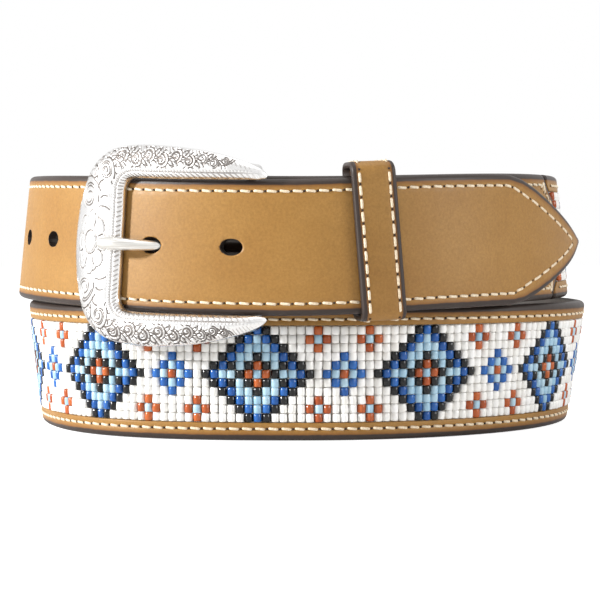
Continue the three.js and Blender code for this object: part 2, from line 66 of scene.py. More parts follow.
# Distances along the strap from the front middle of the billet
BILLET_TIP, TIP_TAPER = -119.0, 50.0
BAR_ON_BILLET = 13.8
FIRST_HOLE, HOLE_PITCH, HOLE_COUNT, PIN_HOLE = 19.4, 22.8, 5, 1
HOLE_LENGTH, HOLE_WIDTH = 6.6, 4.7
PIN_HOLE_LENGTH, PIN_HOLE_PULL, PIN_HOLE_TRAVEL = 7.0, 1.9, 4.4
BILLET_END = 172.0
TAB_LENGTH, TURNED_LENGTH, LINING_SHORT = 128.0, 86.0, 8.0
BAR_RADIUS = 2.0
FOLD_RADIUS = BAR_RADIUS + GAP + TAN
TIP_SHARE = [0, 0.03, 0.1, 0.26, 0.54, 0.74, 0.88, 1]
TIP_HALF = [0.047, 0.1, 0.175, 0.34, 0.62, 0.825, 0.945, 1]
BRACKET_X = [0, 3, 6.5, 9.5, 12, 15, 18, 20]
BRACKET_HALF = [0.9, 2.4, 5, 8.6, 12.4, 14.2, 17, HALF_BELT]

# Leather finish
PAINTED_EDGE = 1.75
EDGE_ROUND = 1.6
STITCH_INSET = 3.4
STITCH_PITCH = 3.75
STITCH_LENGTH = 3.2
THREAD_RADIUS = 0.38

# Beads
BEAD_PITCH = 2.5
BEAD_RADIUS = 1.24
BEAD_LENGTH = 2.44
BEAD_ROWS = 11
FIGURE_PERIOD = 20

# The row's origin is the bottom middle of the box: the floor face mount lies on both.
floor_mount = np.array(frame["record"]["mounts"][0]["pos_m"]) / MM
SHIFT = floor_mount - np.array([0.0, -(LOWER_DEPTH - TAN - GAP - 0.55), 0.0])


# The strap's path

def smooth(t):
    t = np.clip(t, 0.0, 1.0)
    return t * t * (3 - 2 * t)


def lean(turn):
    side = np.maximum(0, (np.sin(np.radians(turn)) ** 2 - 0.05) / 0.95)
    most = np.full_like(side, UPPER_LEAN)
    most[(turn >= 180) & (turn < 360)] = LOWER_RIGHT_LEAN
    most[(turn >= 360) & (turn < 540)] = LOWER_LEFT_LEAN
    return np.radians(most * side)


def height_at(turn):
    cosine = np.cos(np.radians(turn))
    rest = HALF_BELT * np.cos(lean(turn)) - CHAMFER * np.sin(lean(turn))
    down = UPPER_SIDE + (rest - UPPER_SIDE) * smooth((turn - DESCENT_START) / SLOPE_TURNS)
    up = rest + (UPPER_SIDE - rest) * smooth((turn - CLIMB_START) / SLOPE_TURNS)
    wave = BILLET_RISE * smooth((5 - turn) / 35) - BILLET_DIP * smooth((45 - turn) / 20)
    droop = TIP_DROOP * smooth((-turn - 38) / 36)
    front = UPPER_SIDE - BILLET_DROP * cosine ** 2 + wave - droop
    tab = UPPER_SIDE - TAB_DROP * cosine ** 4
    return np.select([turn < 90, turn < 270, turn < 630], [front, down, up], tab)


def half_width_at(turn):
    right = OUTER_TURN + (LOWER_RIGHT - OUTER_TURN) * smooth((turn - 90) / 180)
    left = LOWER_RIGHT + (LOWER_LEFT - LOWER_RIGHT) * smooth((turn - 270) / 180)
    back = LOWER_LEFT + (TAB_TURN - LOWER_LEFT) * smooth((turn - 450) / 60)
    return np.select([turn < 90, turn < 270, turn < 450], [OUTER_TURN, right, left], back)


def path_points(turn):
    lift = TIP_LIFT * smooth((-turn - 45) / 35)
    half_width = half_width_at(turn) + lift
    stages = [turn < 90, turn < 270, turn < 450, turn < 630]
    flat = np.ones_like(turn)
    depths = [BILLET_DEPTH + lift, OUTER_BACK * flat, LOWER_DEPTH * flat, INNER_BACK * flat]
    half_depth = np.select(stages, depths, TAB_DEPTH)
    angle = np.radians(turn)
    bulge = LOWER_LEFT_FULLNESS * np.sin(2 * angle) ** 2 * (1 + 0.5 * np.cos(2 * angle))
    full = np.where((turn > 360) & (turn < 450), 1 + bulge, 1)
    return np.stack([-half_width * full * np.sin(angle), -half_depth * full * np.cos(angle), height_at(turn)], axis=-1)


TURNS = np.arange(-100.0, 745.1, 0.5)
PATH = path_points(TURNS)
RUNS = np.concatenate([[0.0], np.cumsum(np.linalg.norm(np.diff(PATH, axis=0), axis=1))])
RUNS -= RUNS[np.searchsorted(TURNS, 0.0)]


def unit(vectors):
    return vectors / np.linalg.norm(vectors, axis=-1, keepdims=True)


def path_at(along):
    return np.stack([np.interp(along, RUNS, PATH[:, k]) for k in range(3)], axis=-1)


def strap_axes(along):
    """The strap's outer face middle, and its axes along, across and out of the face."""
    along = np.asarray(along, dtype=float)
    ahead = unit(path_at(along + 1) - path_at(along - 1))
    out = unit(np.cross([0.0, 0.0, 1.0], ahead))
    across = np.cross(ahead, out)
    angle = lean(np.interp(along, RUNS, TURNS))[..., None]
    leant_across = np.cos(angle) * across + np.sin(angle) * out
    leant_out = np.cos(angle) * out - np.sin(angle) * across
    return path_at(along), ahead, leant_across, leant_out


def on_strap(along, across, over):
    """Points of the strap, from millimetres along it, across it and over its outer face."""
    along, across, over = np.broadcast_arrays(np.asarray(along, float), across, over)
    point, _, sideways, out = strap_axes(along)
    return point + sideways * across[..., None] + out * over[..., None] + SHIFT


def bar_on_tab():
    point = on_strap(BAR_ON_BILLET, 0, -(STRAP + GAP + FOLD_RADIUS))
    tries = np.arange(np.interp(700, TURNS, RUNS), np.interp(744, TURNS, RUNS), 0.25)
    return tries[np.argmin(np.linalg.norm(on_strap(tries, 0, -FOLD_RADIUS) - point, axis=-1))]


BAR_ON_TAB = bar_on_tab()
TAB_END = BAR_ON_TAB - TAB_LENGTH

# The bead figures are set out from the front middle of the lower turn.
FIGURE_CENTRE = np.interp(360, TURNS, RUNS) + 12.2


def tip_half(from_tip):
    return HALF_BELT * np.interp(from_tip / TIP_TAPER, TIP_SHARE, TIP_HALF)


def bracket_half(from_point):
    return np.interp(from_point, BRACKET_X, BRACKET_HALF)


def billet_half(along):
    return np.minimum(tip_half(along - BILLET_TIP), bracket_half(BILLET_END - along))


def tab_half(along):
    return bracket_half(along - TAB_END)


# Meshes

def make_piece(name, points, faces, materials, marks=None, face_materials=None, flat=False):
    """A piece from points in millimetres, riding on the row's one body."""
    mesh = bpy.data.meshes.new(name)
    mesh.from_pydata((np.asarray(points) * MM).tolist(), [], [list(map(int, face)) for face in faces])
    for mark, values in (marks or {}).items():
        attribute = mesh.attributes.new(mark, "FLOAT", "POINT")
        attribute.data.foreach_set("value", np.asarray(values, dtype=np.float32).ravel())
    for material in materials:
        mesh.materials.append(material)
    if face_materials is not None:
        mesh.polygons.foreach_set("material_index", np.asarray(face_materials, dtype=np.int32))
    mesh.polygons.foreach_set("use_smooth", [not flat] * len(mesh.polygons))
    mesh.update()
    piece = bpy.data.objects.new(name, mesh)
    bpy.context.scene.collection.objects.link(piece)
    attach(piece, "root")
    return piece


def tube_faces(rings, count, closed=False, caps=True):
    """Quads that join rings of count points each, and the two end caps."""
    faces = []
    turns = rings if closed else rings - 1
    for r in range(turns):
        a = r * count
        b = ((r + 1) % rings) * count
        for k in range(count):
            n = (k + 1) % count
            faces.append((a + k, a + n, b + n, b + k))
    if caps and not closed:
        faces.append(tuple(range(count - 1, -1, -1)))
        faces.append(tuple(range((rings - 1) * count, rings * count)))
    return faces


def facing_out(points, faces):
    """The faces, turned round if they enclose a negative volume."""
    volume = 0.0
    for face in faces:
        a = points[face[0]]
        for k in range(1, len(face) - 1):
            volume += np.dot(a, np.cross(points[face[k]], points[face[k + 1]]))
    if volume < 0:
        return [tuple(reversed(face)) for face in faces]
    return faces


def leather_section(top, bottom, low_round, high_round, columns):
    """One section of a leather layer: share across, inset from the edge and depth for each point.

    The corners on the show side are rounded by low_round and high_round.
    """
    section = []
    steps = 5
    for share in np.linspace(0, 1, columns):
        section.append((share, 1.0, top))
    for k in range(1, steps + 1):
        angle = k / steps * math.pi / 2
        section.append((1.0, 1 - math.sin(angle), top + high_round * (1 - math.cos(angle))))
    section.append((1.0, 0.0, bottom))
    section.append((0.5, 1.0, bottom))
    section.append((0.0, 0.0, bottom))
    for k in range(steps, 0, -1):
        angle = k / steps * math.pi / 2
        section.append((0.0, 1 - math.sin(angle), top + low_round * (1 - math.cos(angle))))
    return np.array(section)


def stitch_groove(across_from_edge, along):
    """Depth of the leather pulled down along the stitches, in millimetres"""
    row = np.exp(-((across_from_edge - STITCH_INSET) / 0.55) ** 2)
    pull = 0.14 + 0.08 * np.cos(2 * math.pi * along / STITCH_PITCH)
    return row * pull


def leather_layer(name, along, low, high, top, bottom, rounds, edges, materials, place=on_strap, columns=41):
    """A strip of leather between low(along) and high(along), with rounded painted edges.

    edges says which of the two sides is a painted outer edge.
    """
    along = np.asarray(along, dtype=float)
    section = leather_section(0.0, bottom - top, rounds[0], rounds[1], columns)
    count = len(section)
    share, inset, depth = section[:, 0][None], section[:, 1][None], section[:, 2][None]
    lows, highs = low[:, None], high[:, None]
    width = highs - lows
    round_low = np.minimum(rounds[0], width / 3)
    round_high = np.minimum(rounds[1], width / 3)
    inner_low, inner_high = lows + round_low * inset, highs - round_high * inset
    across = inner_low + (inner_high - inner_low) * share
    slope = np.gradient(highs[:, 0], along)
    cosine = 1 / np.sqrt(1 + np.clip(slope, -3, 3)[:, None] ** 2)
    from_low = (across - lows) * cosine if edges[0] else np.full_like(across, 50.0)
    from_high = (highs - across) * cosine if edges[1] else np.full_like(across, 50.0)
    from_edge = np.minimum(from_low, from_high)
    from_end = np.minimum(along - along[0], along[-1] - along)[:, None]
    if edges[2]:
        from_edge = np.minimum(from_edge, from_end + 0.2)
    sunk = stitch_groove(from_edge, along[:, None]) * (depth <= 0)
    over = -(top + depth + sunk)
    spread_along = np.broadcast_to(along[:, None], across.shape)
    points = place(spread_along, across, over).reshape(-1, 3)
    faces = facing_out(points, tube_faces(len(along), count))
    marks = {"from_edge": from_edge + np.zeros_like(across)}
    marks["from_edge"] = np.where(depth > 0.3, np.minimum(marks["from_edge"], 0.4), marks["from_edge"])
    if not edges[0]:
        near_low = (share < 0.5) & (depth > 0.3)
        marks["from_edge"] = np.where(near_low, 3.0, marks["from_edge"])
    marks["along"] = spread_along
    return make_piece(name, points, faces, materials, marks)


def many_copies(shape_points, shape_faces, origins, axes):
    """Copies of one small shape at many places, as joined points and faces."""
    points = origins[:, None, :] + np.einsum("pk,nkj->npj", shape_points, axes)
    count = len(shape_points)
    faces = []
    for n in range(len(origins)):
        start = n * count
        faces.extend(tuple(start + i for i in face) for face in shape_faces)
    return points.reshape(-1, 3), faces


# Materials

def linear(code):
    """An sRGB hex colour as linear RGBA."""
    values = [int(code[k:k + 2], 16) / 255 for k in (1, 3, 5)]
    return [v / 12.92 if v <= 0.04045 else ((v + 0.055) / 1.055) ** 2.4 for v in values] + [1.0]


def add(tree, kind, inputs=None, **settings):
    """A node with its settings, and its inputs set to values or linked to other nodes' outputs."""
    made = tree.nodes.new(kind)
    for name, value in settings.items():
        setattr(made, name, value)
    for name, value in (inputs or {}).items():
        if isinstance(value, bpy.types.NodeSocket):
            tree.links.new(value, made.inputs[name])
        else:
            made.inputs[name].default_value = value
    return made


def new_material(name):
    material = bpy.data.materials.new(name)
    material.use_nodes = True
    tree = material.node_tree
    tree.nodes.clear()
    shader = add(tree, "ShaderNodeBsdfPrincipled")
    add(tree, "ShaderNodeOutputMaterial", {"Surface": shader.outputs["BSDF"]})
    return material, tree, shader


def ramp(tree, value, stops):
    """A colour ramp over value with (position, colour) stops."""
    made = add(tree, "ShaderNodeValToRGB", {"Fac": value})
    points = made.color_ramp.elements
    points[0].position, points[0].color = stops[0]
    points[1].position, points[1].color = stops[-1]
    for position, colour in stops[1:-1]:
        points.new(position).color = colour
    return made.outputs["Color"]


def tan_bridle_leather():
    """Vegetable tanned bridle leather, waxed and rolled: warm tan, faintly mottled, soft shine.

    Its cut edges are rounded and painted dark brown, which shows as a dark line along each edge.
    """
    material, tree, shader = new_material("tan_bridle_leather")
    place = add(tree, "ShaderNodeTexCoord").outputs["Object"]
    cloud = add(tree, "ShaderNodeTexNoise", {"Vector": place, "Scale": 1 / (22 * MM), "Detail": 6.0, "Roughness": 0.62})
    tone = ramp(tree, cloud.outputs["Fac"], [(0.25, linear("#976c34")), (0.52, linear("#9f753b")), (0.8, linear("#a87e43"))])
    pores = add(tree, "ShaderNodeTexNoise", {"Vector": place, "Scale": 1 / (0.8 * MM), "Detail": 4.0, "Roughness": 0.75})
    fleck = add(tree, "ShaderNodeMapRange", {"Value": pores.outputs["Fac"], "From Min": 0.35, "From Max": 0.66, "To Min": 0.86, "To Max": 1.1})
    toned = add(tree, "ShaderNodeVectorMath", {0: tone, 1: fleck.outputs["Result"]}, operation="MULTIPLY")
    edge = add(tree, "ShaderNodeAttribute", attribute_name="from_edge").outputs["Fac"]
    wander = add(tree, "ShaderNodeTexNoise", {"Vector": place, "Scale": 1 / (3 * MM), "Detail": 2.0})
    shifted = add(tree, "ShaderNodeMath", {0: wander.outputs["Fac"], 1: 0.35, 2: edge}, operation="MULTIPLY_ADD")
    burnish = add(tree, "ShaderNodeMapRange", {"Value": shifted.outputs[0], "From Min": PAINTED_EDGE + 0.1, "From Max": PAINTED_EDGE + 1.3})
    burnt = add(tree, "ShaderNodeMix", {"Factor": burnish.outputs["Result"], "A": linear("#7d5122"), "B": toned.outputs[0]}, data_type="RGBA")
    paint = add(tree, "ShaderNodeMapRange", {"Value": shifted.outputs[0], "From Min": PAINTED_EDGE - 0.05, "From Max": PAINTED_EDGE + 0.3})
    colour = add(tree, "ShaderNodeMix", {"Factor": paint.outputs["Result"], "A": linear("#362c27"), "B": burnt.outputs[2]}, data_type="RGBA")
    grain = add(tree, "ShaderNodeTexVoronoi", {"Vector": place, "Scale": 1 / (0.55 * MM), "Randomness": 1.0})
    crease = add(tree, "ShaderNodeTexNoise", {"Vector": place, "Scale": 1 / (2.2 * MM), "Detail": 6.0, "Roughness": 0.65})
    relief = add(tree, "ShaderNodeMath", {0: grain.outputs["Distance"], 1: 0.4, 2: crease.outputs["Fac"]}, operation="MULTIPLY_ADD")
    bump = add(tree, "ShaderNodeBump", {"Height": relief.outputs[0], "Strength": 0.22, "Distance": 0.1 * MM})
    shine = add(tree, "ShaderNodeMapRange", {"Value": crease.outputs["Fac"], "To Min": 0.36, "To Max": 0.56})
    tree.links.new(colour.outputs[2], shader.inputs["Base Color"])
    tree.links.new(shine.outputs["Result"], shader.inputs["Roughness"])
    tree.links.new(bump.outputs["Normal"], shader.inputs["Normal"])
    shader.inputs["IOR"].default_value = 1.48
    shader.inputs["Specular IOR Level"].default_value = 0.35
    return material


def dark_lining_leather():
    """Dark brown lining leather with a pebbled grain, matt, its edges painted like the tan side's."""
    material, tree, shader = new_material("dark_lining_leather")
    place = add(tree, "ShaderNodeTexCoord").outputs["Object"]
    cloud = add(tree, "ShaderNodeTexNoise", {"Vector": place, "Scale": 1 / (8 * MM), "Detail": 4.0})
    tone = ramp(tree, cloud.outputs["Fac"], [(0.3, linear("#35302c")), (0.7, linear("#453e38"))])
    pebble = add(tree, "ShaderNodeTexVoronoi", {"Vector": place, "Scale": 1 / (0.7 * MM)}, feature="SMOOTH_F1")
    bump = add(tree, "ShaderNodeBump", {"Height": pebble.outputs["Distance"], "Strength": 0.5, "Distance": 0.12 * MM})
    tree.links.new(tone, shader.inputs["Base Color"])
    tree.links.new(bump.outputs["Normal"], shader.inputs["Normal"])
    shader.inputs["Roughness"].default_value = 0.62
    shader.inputs["IOR"].default_value = 1.48
    return material


def waxed_cream_thread():
    """Waxed polyester sewing thread, cream, with its two plies just visible as slanted shading."""
    material, tree, shader = new_material("waxed_cream_thread")
    place = add(tree, "ShaderNodeTexCoord").outputs["Object"]
    ply = add(tree, "ShaderNodeTexNoise", {"Vector": place, "Scale": 1 / (0.5 * MM), "Detail": 2.0})
    tone = ramp(tree, ply.outputs["Fac"], [(0.3, linear("#d9c3a2")), (0.6, linear("#f3e3c8"))])
    bump = add(tree, "ShaderNodeBump", {"Height": ply.outputs["Fac"], "Strength": 0.4, "Distance": 0.1 * MM})
    tree.links.new(tone, shader.inputs["Base Color"])
    tree.links.new(bump.outputs["Normal"], shader.inputs["Normal"])
    shader.inputs["Roughness"].default_value = 0.5
    return material


def needle_hole_shadow():
    """Punched leather in shadow, almost black brown."""
    material, tree, shader = new_material("needle_hole_shadow")
    place = add(tree, "ShaderNodeTexCoord").outputs["Object"]
    noise = add(tree, "ShaderNodeTexNoise", {"Vector": place, "Scale": 1 / (0.6 * MM)})
    tone = ramp(tree, noise.outputs["Fac"], [(0.3, linear("#241710")), (0.7, linear("#3a2617"))])
    tree.links.new(tone, shader.inputs["Base Color"])
    shader.inputs["Roughness"].default_value = 0.8
    return material


def opaque_bead_glass(name, dark, light):
    """Opaque pressed glass seed beads, slightly uneven in tone from bead to bead, with a gloss."""
    material, tree, shader = new_material(name)
    tone_mark = add(tree, "ShaderNodeAttribute", attribute_name="bead_tone").outputs["Fac"]
    tone = ramp(tree, tone_mark, [(0.0, linear(dark)), (1.0, linear(light))])
    place = add(tree, "ShaderNodeTexCoord").outputs["Object"]
    wave = add(tree, "ShaderNodeTexNoise", {"Vector": place, "Scale": 1 / (0.9 * MM), "Detail": 1.0})
    bump = add(tree, "ShaderNodeBump", {"Height": wave.outputs["Fac"], "Strength": 0.25, "Distance": 0.15 * MM})
    tree.links.new(tone, shader.inputs["Base Color"])
    tree.links.new(bump.outputs["Normal"], shader.inputs["Normal"])
    shader.inputs["Roughness"].default_value = 0.16
    shader.inputs["IOR"].default_value = 1.52
    shader.inputs["Specular IOR Level"].default_value = 0.35
    return material


def bead_thread_cloth():
    """The woven nylon threads and backing cloth under the beads, grey in the gaps."""
    material, tree, shader = new_material("bead_thread_cloth")
    place = add(tree, "ShaderNodeTexCoord").outputs["Object"]
    weave = add(tree, "ShaderNodeTexNoise", {"Vector": place, "Scale": 1 / (0.4 * MM)})
    tone = ramp(tree, weave.outputs["Fac"], [(0.35, linear("#c4beb4")), (0.65, linear("#e9e5dd"))])
    tree.links.new(tone, shader.inputs["Base Color"])
    shader.inputs["Roughness"].default_value = 0.85
    return material


def antiqued_silver_casting():
    """Silver plated zinc casting, antiqued: bright polished heights, grey brown in the grooves."""
    material, tree, shader = new_material("antiqued_silver_casting")
    place = add(tree, "ShaderNodeTexCoord").outputs["Object"]
    groove = add(tree, "ShaderNodeAttribute", attribute_name="groove").outputs["Fac"]
    wear = add(tree, "ShaderNodeTexNoise", {"Vector": place, "Scale": 1 / (2.5 * MM), "Detail": 4.0})
    worn = add(tree, "ShaderNodeMath", {0: wear.outputs["Fac"], 1: 0.25, 2: groove}, operation="MULTIPLY_ADD")
    patina = add(tree, "ShaderNodeMapRange", {"Value": worn.outputs[0], "From Min": 0.18, "From Max": 1.1})
    stops = [(0.0, linear("#e9e8e7")), (0.4, linear("#b3afac")), (1.0, linear("#453d38"))]
    colour = ramp(tree, patina.outputs["Result"], stops)
    rough = add(tree, "ShaderNodeMapRange", {"Value": patina.outputs["Result"], "To Min": 0.24, "To Max": 0.6})
    fine = add(tree, "ShaderNodeTexNoise", {"Vector": place, "Scale": 1 / (0.7 * MM), "Detail": 3.0})
    bump = add(tree, "ShaderNodeBump", {"Height": fine.outputs["Fac"], "Strength": 0.12, "Distance": 0.08 * MM})
    tree.links.new(colour, shader.inputs["Base Color"])
    tree.links.new(rough.outputs["Result"], shader.inputs["Roughness"])
    tree.links.new(bump.outputs["Normal"], shader.inputs["Normal"])
    shader.inputs["Metallic"].default_value = 1.0
    return material


def brushed_silver_plate():
    """Silver plated rod, brushed along its length, with fine lines in the gloss; where it lies under the leather and in
    the fold it is coloured dark brown and dull as painted shade.
    """
    material, tree, shader = new_material("brushed_silver_plate")
    place = add(tree, "ShaderNodeTexCoord").outputs["Object"]
    stretched = add(tree, "ShaderNodeMapping", {"Vector": place, "Scale": (1 / (9 * MM), 1 / (9 * MM), 1 / (0.22 * MM))})
    lines = add(tree, "ShaderNodeTexNoise", {"Vector": stretched.outputs["Vector"], "Scale": 1.0, "Detail": 3.0})
    tone = ramp(tree, lines.outputs["Fac"], [(0.3, linear("#cfcbc5")), (0.65, linear("#ecebe7"))])
    rough = add(tree, "ShaderNodeMapRange", {"Value": lines.outputs["Fac"], "To Min": 0.24, "To Max": 0.42})
    bump = add(tree, "ShaderNodeBump", {"Height": lines.outputs["Fac"], "Strength": 0.15, "Distance": 0.05 * MM})
    # painted shade: this mark turns the colour dark brown and the gloss dull where the tongue runs under the leather
    # and where the eye sits in the fold
    hidden = add(tree, "ShaderNodeAttribute", attribute_name="painted_shade").outputs["Fac"]
    shaded_tone = add(tree, "ShaderNodeMix", {"Factor": hidden, "A": tone, "B": linear("#2b211b")}, data_type="RGBA")
    dull = add(tree, "ShaderNodeMix", {"Factor": hidden, "A": rough.outputs["Result"], "B": 0.8})
    tree.links.new(shaded_tone.outputs[2], shader.inputs["Base Color"])
    tree.links.new(dull.outputs[0], shader.inputs["Roughness"])
    tree.links.new(bump.outputs["Normal"], shader.inputs["Normal"])
    shader.inputs["Metallic"].default_value = 1.0
    return material


def studio_paper():
    """White background paper, matt."""
    material, tree, shader = new_material("studio_paper")
    shader.inputs["Base Color"].default_value = linear("#fdfdfc")
    shader.inputs["Roughness"].default_value = 0.9
    shader.inputs["Specular IOR Level"].default_value = 0.2
    shader.inputs["Emission Color"].default_value = (1, 1, 1, 1)
    seen = add(tree, "ShaderNodeLightPath").outputs["Is Camera Ray"]
    glow = add(tree, "ShaderNodeMapRange", {"Value": seen, "To Min": 0.06, "To Max": 0.85})
    tree.links.new(glow.outputs["Result"], shader.inputs["Emission Strength"])
    return material


TAN_LEATHER = tan_bridle_leather()
LINING_LEATHER = dark_lining_leather()
THREAD = waxed_cream_thread()
HOLE_SHADOW = needle_hole_shadow()
SILVER = antiqued_silver_casting()
TONGUE_SILVER = brushed_silver_plate()
CLOTH = bead_thread_cloth()
BEAD_GLASS = {
    "W": ("white_beads", opaque_bead_glass("opaque_white_glass", "#f3f1ec", "#fdfcfa")),
    "K": ("black_beads", opaque_bead_glass("opaque_black_glass", "#0d0d0f", "#1c1c1e")),
    "B": ("blue_beads", opaque_bead_glass("opaque_blue_glass", "#1f549c", "#2c68b4")),
    "L": ("light_blue_beads", opaque_bead_glass("opaque_light_blue_glass", "#9cc3da", "#b9d6e5")),
    "R": ("rust_beads", opaque_bead_glass("opaque_rust_glass", "#a2491f", "#c0622f")),
}


# Camera, light and floor

CAMERA_AT = np.array([0.0, -643.0, 59.0])
CAMERA_PITCH = 1.9
FOCAL_PIXELS = 1989.0
FRAME_PIXELS = 600.0
SENSOR = 36.0


def make_camera():
    data = bpy.data.cameras.new("camera")
    data.sensor_width = SENSOR
    data.lens = SENSOR * FOCAL_PIXELS / FRAME_PIXELS
    data.clip_start = 0.05
    camera = bpy.data.objects.new("camera", data)
    camera.location = (CAMERA_AT + SHIFT) * MM
    camera.rotation_euler = (math.radians(90 - CAMERA_PITCH), 0, 0)
    bpy.context.scene.collection.objects.link(camera)
    bpy.context.scene.camera = camera


def make_light(name, place, aim, size, power):
    data = bpy.data.lights.new(name, "AREA")
    data.shape = "RECTANGLE"
    data.size, data.size_y = size
    data.energy = power
    light = bpy.data.objects.new(name, data)
    place, aim = np.array(place), np.array(aim)
    back = unit(place - aim)
    side = unit(np.cross([0.0, 0.0, 1.0], back))
    up = np.cross(back, side)
    light.matrix_world = [[side[k], up[k], back[k], place[k]] for k in range(3)] + [[0, 0, 0, 1]]
    light.matrix_world.transpose()
    bpy.context.scene.collection.objects.link(light)
    return light


def make_studio():
    from_size = 3.0
    mesh = bpy.data.meshes.new("floor")
    corners = [(-from_size, -from_size, 0), (from_size, -from_size, 0), (from_size, from_size, 0), (-from_size, from_size, 0)]
    mesh.from_pydata([(x, y, -0.0002) for x, y, _ in corners], [], [(0, 1, 2, 3)])
    mesh.materials.append(studio_paper())
    floor = bpy.data.objects.new("floor", mesh)
    bpy.context.scene.collection.objects.link(floor)
    make_light("key_softbox", (-1.35, -0.46, 0.5), (0, 0, 0.04), (0.14, 0.14), 34)
    make_light("fill_softbox", (1.2, -0.62, 0.5), (0, 0, 0.04), (0.5, 0.5), 9.5)
    make_light("top_softbox", (0.1, -0.1, 1.0), (0, 0, 0), (0.8, 0.6), 3)
    world = bpy.data.worlds.new("studio")
    bpy.context.scene.world = world
    world.use_nodes = True
    tree = world.node_tree
    diffuse = add(tree, "ShaderNodeLightPath").outputs["Is Diffuse Ray"]
    strength = add(tree, "ShaderNodeMapRange", {"Value": diffuse, "To Min": 1.0, "To Max": 0.13})
    tree.links.new(strength.outputs["Result"], tree.nodes["Background"].inputs["Strength"])
    tree.nodes["Background"].inputs["Color"].default_value = (1, 1, 1, 1)
    bpy.context.scene.view_settings.view_transform = "Standard"


make_camera()
make_studio()


# Leather pieces

def spaced(start, end, step):
    return np.linspace(start, end, max(2, int(round((end - start) / step)) + 1))


def hole_cutter():
    """Punched oval holes through billet and lining, joined in one cutter."""
    points, faces = [], []
    for k in range(HOLE_COUNT):
        worn = k == PIN_HOLE
        length = PIN_HOLE_LENGTH if worn else HOLE_LENGTH
        drift = (PIN_HOLE_TRAVEL if worn else 0) / STRAP
        start = len(points)
        angle = np.arange(32) / 32 * 2 * math.pi
        for over in (1.5, -STRAP - 1.5):
            middle = FIRST_HOLE + k * HOLE_PITCH + (PIN_HOLE_PULL if worn else 0)
            s = middle + length / 2 * np.cos(angle) + drift * over
            points.extend(on_strap(s, HOLE_WIDTH / 2 * np.sin(angle), over))
        ring = tube_faces(2, 32)
        faces.extend(tuple(start + i for i in face) for face in facing_out(np.array(points[start:]), ring))
    mesh = bpy.data.meshes.new("hole_cutter")
    mesh.from_pydata((np.array(points) * MM).tolist(), [], faces)
    cutter = bpy.data.objects.new("hole_cutter", mesh)
    bpy.context.scene.collection.objects.link(cutter)
    return cutter


def cut_holes(piece, cutter):
    cut = piece.modifiers.new("holes", "BOOLEAN")
    cut.operation = "DIFFERENCE"
    cut.solver = "EXACT"
    cut.object = cutter
    bpy.context.view_layer.update()
    depsgraph = bpy.context.evaluated_depsgraph_get()
    mesh = bpy.data.meshes.new_from_object(piece.evaluated_get(depsgraph))
    piece.modifiers.clear()
    piece.data = mesh


def make_straps():
    cutter = hole_cutter()
    along = np.concatenate([BILLET_TIP + np.array([0, 0.3, 0.8, 1.6, 2.6, 3.8, 5.2]), spaced(BILLET_TIP + 6.8, BILLET_END, 0.875)])
    half = billet_half(along)
    billet = leather_layer("billet_leather", along, -half, half, 0, TAN + GAP - 0.02, (EDGE_ROUND, EDGE_ROUND), (1, 1, 1), [TAN_LEATHER])
    cut_holes(billet, cutter)
    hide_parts("billet")

    end = BAR_ON_TAB - LINING_SHORT
    along = np.concatenate([BILLET_TIP + np.array([0, 0.3, 0.8, 1.6, 2.6, 3.8, 5.2]), spaced(BILLET_TIP + 6.8, end, 2.6)])
    half = tip_half(along - BILLET_TIP)
    lining = lining_layer(along, half)
    cut_holes(lining, cutter)
    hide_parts("lining")
    bpy.data.objects.remove(cutter)

    make_tab()
    make_borders()


def lining_layer(along, half):
    """The lining under everything: its inner corners are rounded and its edge is painted."""
    top, bottom = TAN + GAP, STRAP
    corner = 0.9
    section = [(-1, 0, top), (-0.5, 0, top), (0, 0, top), (0.5, 0, top), (1, 0, top)]
    for k in range(5):
        angle = k / 4 * math.pi / 2
        section.append((1, corner * (1 - math.cos(angle)), bottom - corner * (1 - math.sin(angle))))
    section += [(0.5, 0, bottom), (0, 0, bottom), (-0.5, 0, bottom)]
    for k in range(4, -1, -1):
        angle = k / 4 * math.pi / 2
        section.append((-1, corner * (1 - math.cos(angle)), bottom - corner * (1 - math.sin(angle))))
    section = np.array(section)
    side, inset, depth = section[:, 0][None], section[:, 1][None], section[:, 2][None]
    room = np.maximum(0, half[:, None] - corner)
    across = side * half[:, None] - np.sign(side) * np.minimum(inset, room + inset)
    points = on_strap(np.broadcast_to(along[:, None], across.shape), across, np.broadcast_to(-depth, across.shape))
    points = points.reshape(-1, 3)
    faces = facing_out(points, tube_faces(len(along), len(section)))
    return make_piece("lining_leather", points, faces, [LINING_LEATHER])


def make_tab():
    """The buckle tab: its show side, the fold round the bar, and the turned back end."""
    deepest = 2 * FOLD_RADIUS - TAN
    turned_depth = STRAP + GAP

    def place(along, across, over):
        arc = math.pi * FOLD_RADIUS
        beyond = along - BAR_ON_TAB
        flat = on_strap(np.minimum(along, BAR_ON_TAB), across, over)
        angle = np.clip(beyond / FOLD_RADIUS, 0, math.pi)
        radius = FOLD_RADIUS + over
        folded = on_strap(BAR_ON_TAB + radius * np.sin(angle), across, radius * np.cos(angle) - FOLD_RADIUS)
        back_at = BAR_ON_TAB - np.maximum(0, beyond - arc)
        near = smooth((back_at - BAR_ON_TAB + 22) / 22)
        depth = turned_depth + (deepest - turned_depth) * near
        turned = on_strap(back_at, across, -over - depth - TAN)
        choice = np.where(beyond <= 0, 0, np.where(beyond < arc, 1, 2))[..., None]
        return np.choose(choice, [flat, folded, turned])

    end = BAR_ON_TAB + math.pi * FOLD_RADIUS + TURNED_LENGTH
    along = np.concatenate([spaced(TAB_END, TAB_END + 21, 0.5), spaced(TAB_END + 21.875, end, 0.875)])
    half = np.where(along < BAR_ON_TAB, tab_half(along), HALF_BELT)
    tab = leather_layer("tab_leather", along, -half, half, 0, TAN, (EDGE_ROUND, EDGE_ROUND), (1, 1, 1), [TAN_LEATHER], place)
    slot = slot_cutter()
    cut_holes(tab, slot)
    bpy.data.objects.remove(slot)
    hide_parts("buckle_tab")


BAR_DEPTH = STRAP + GAP + FOLD_RADIUS
FRAME_CENTRE = -0.1


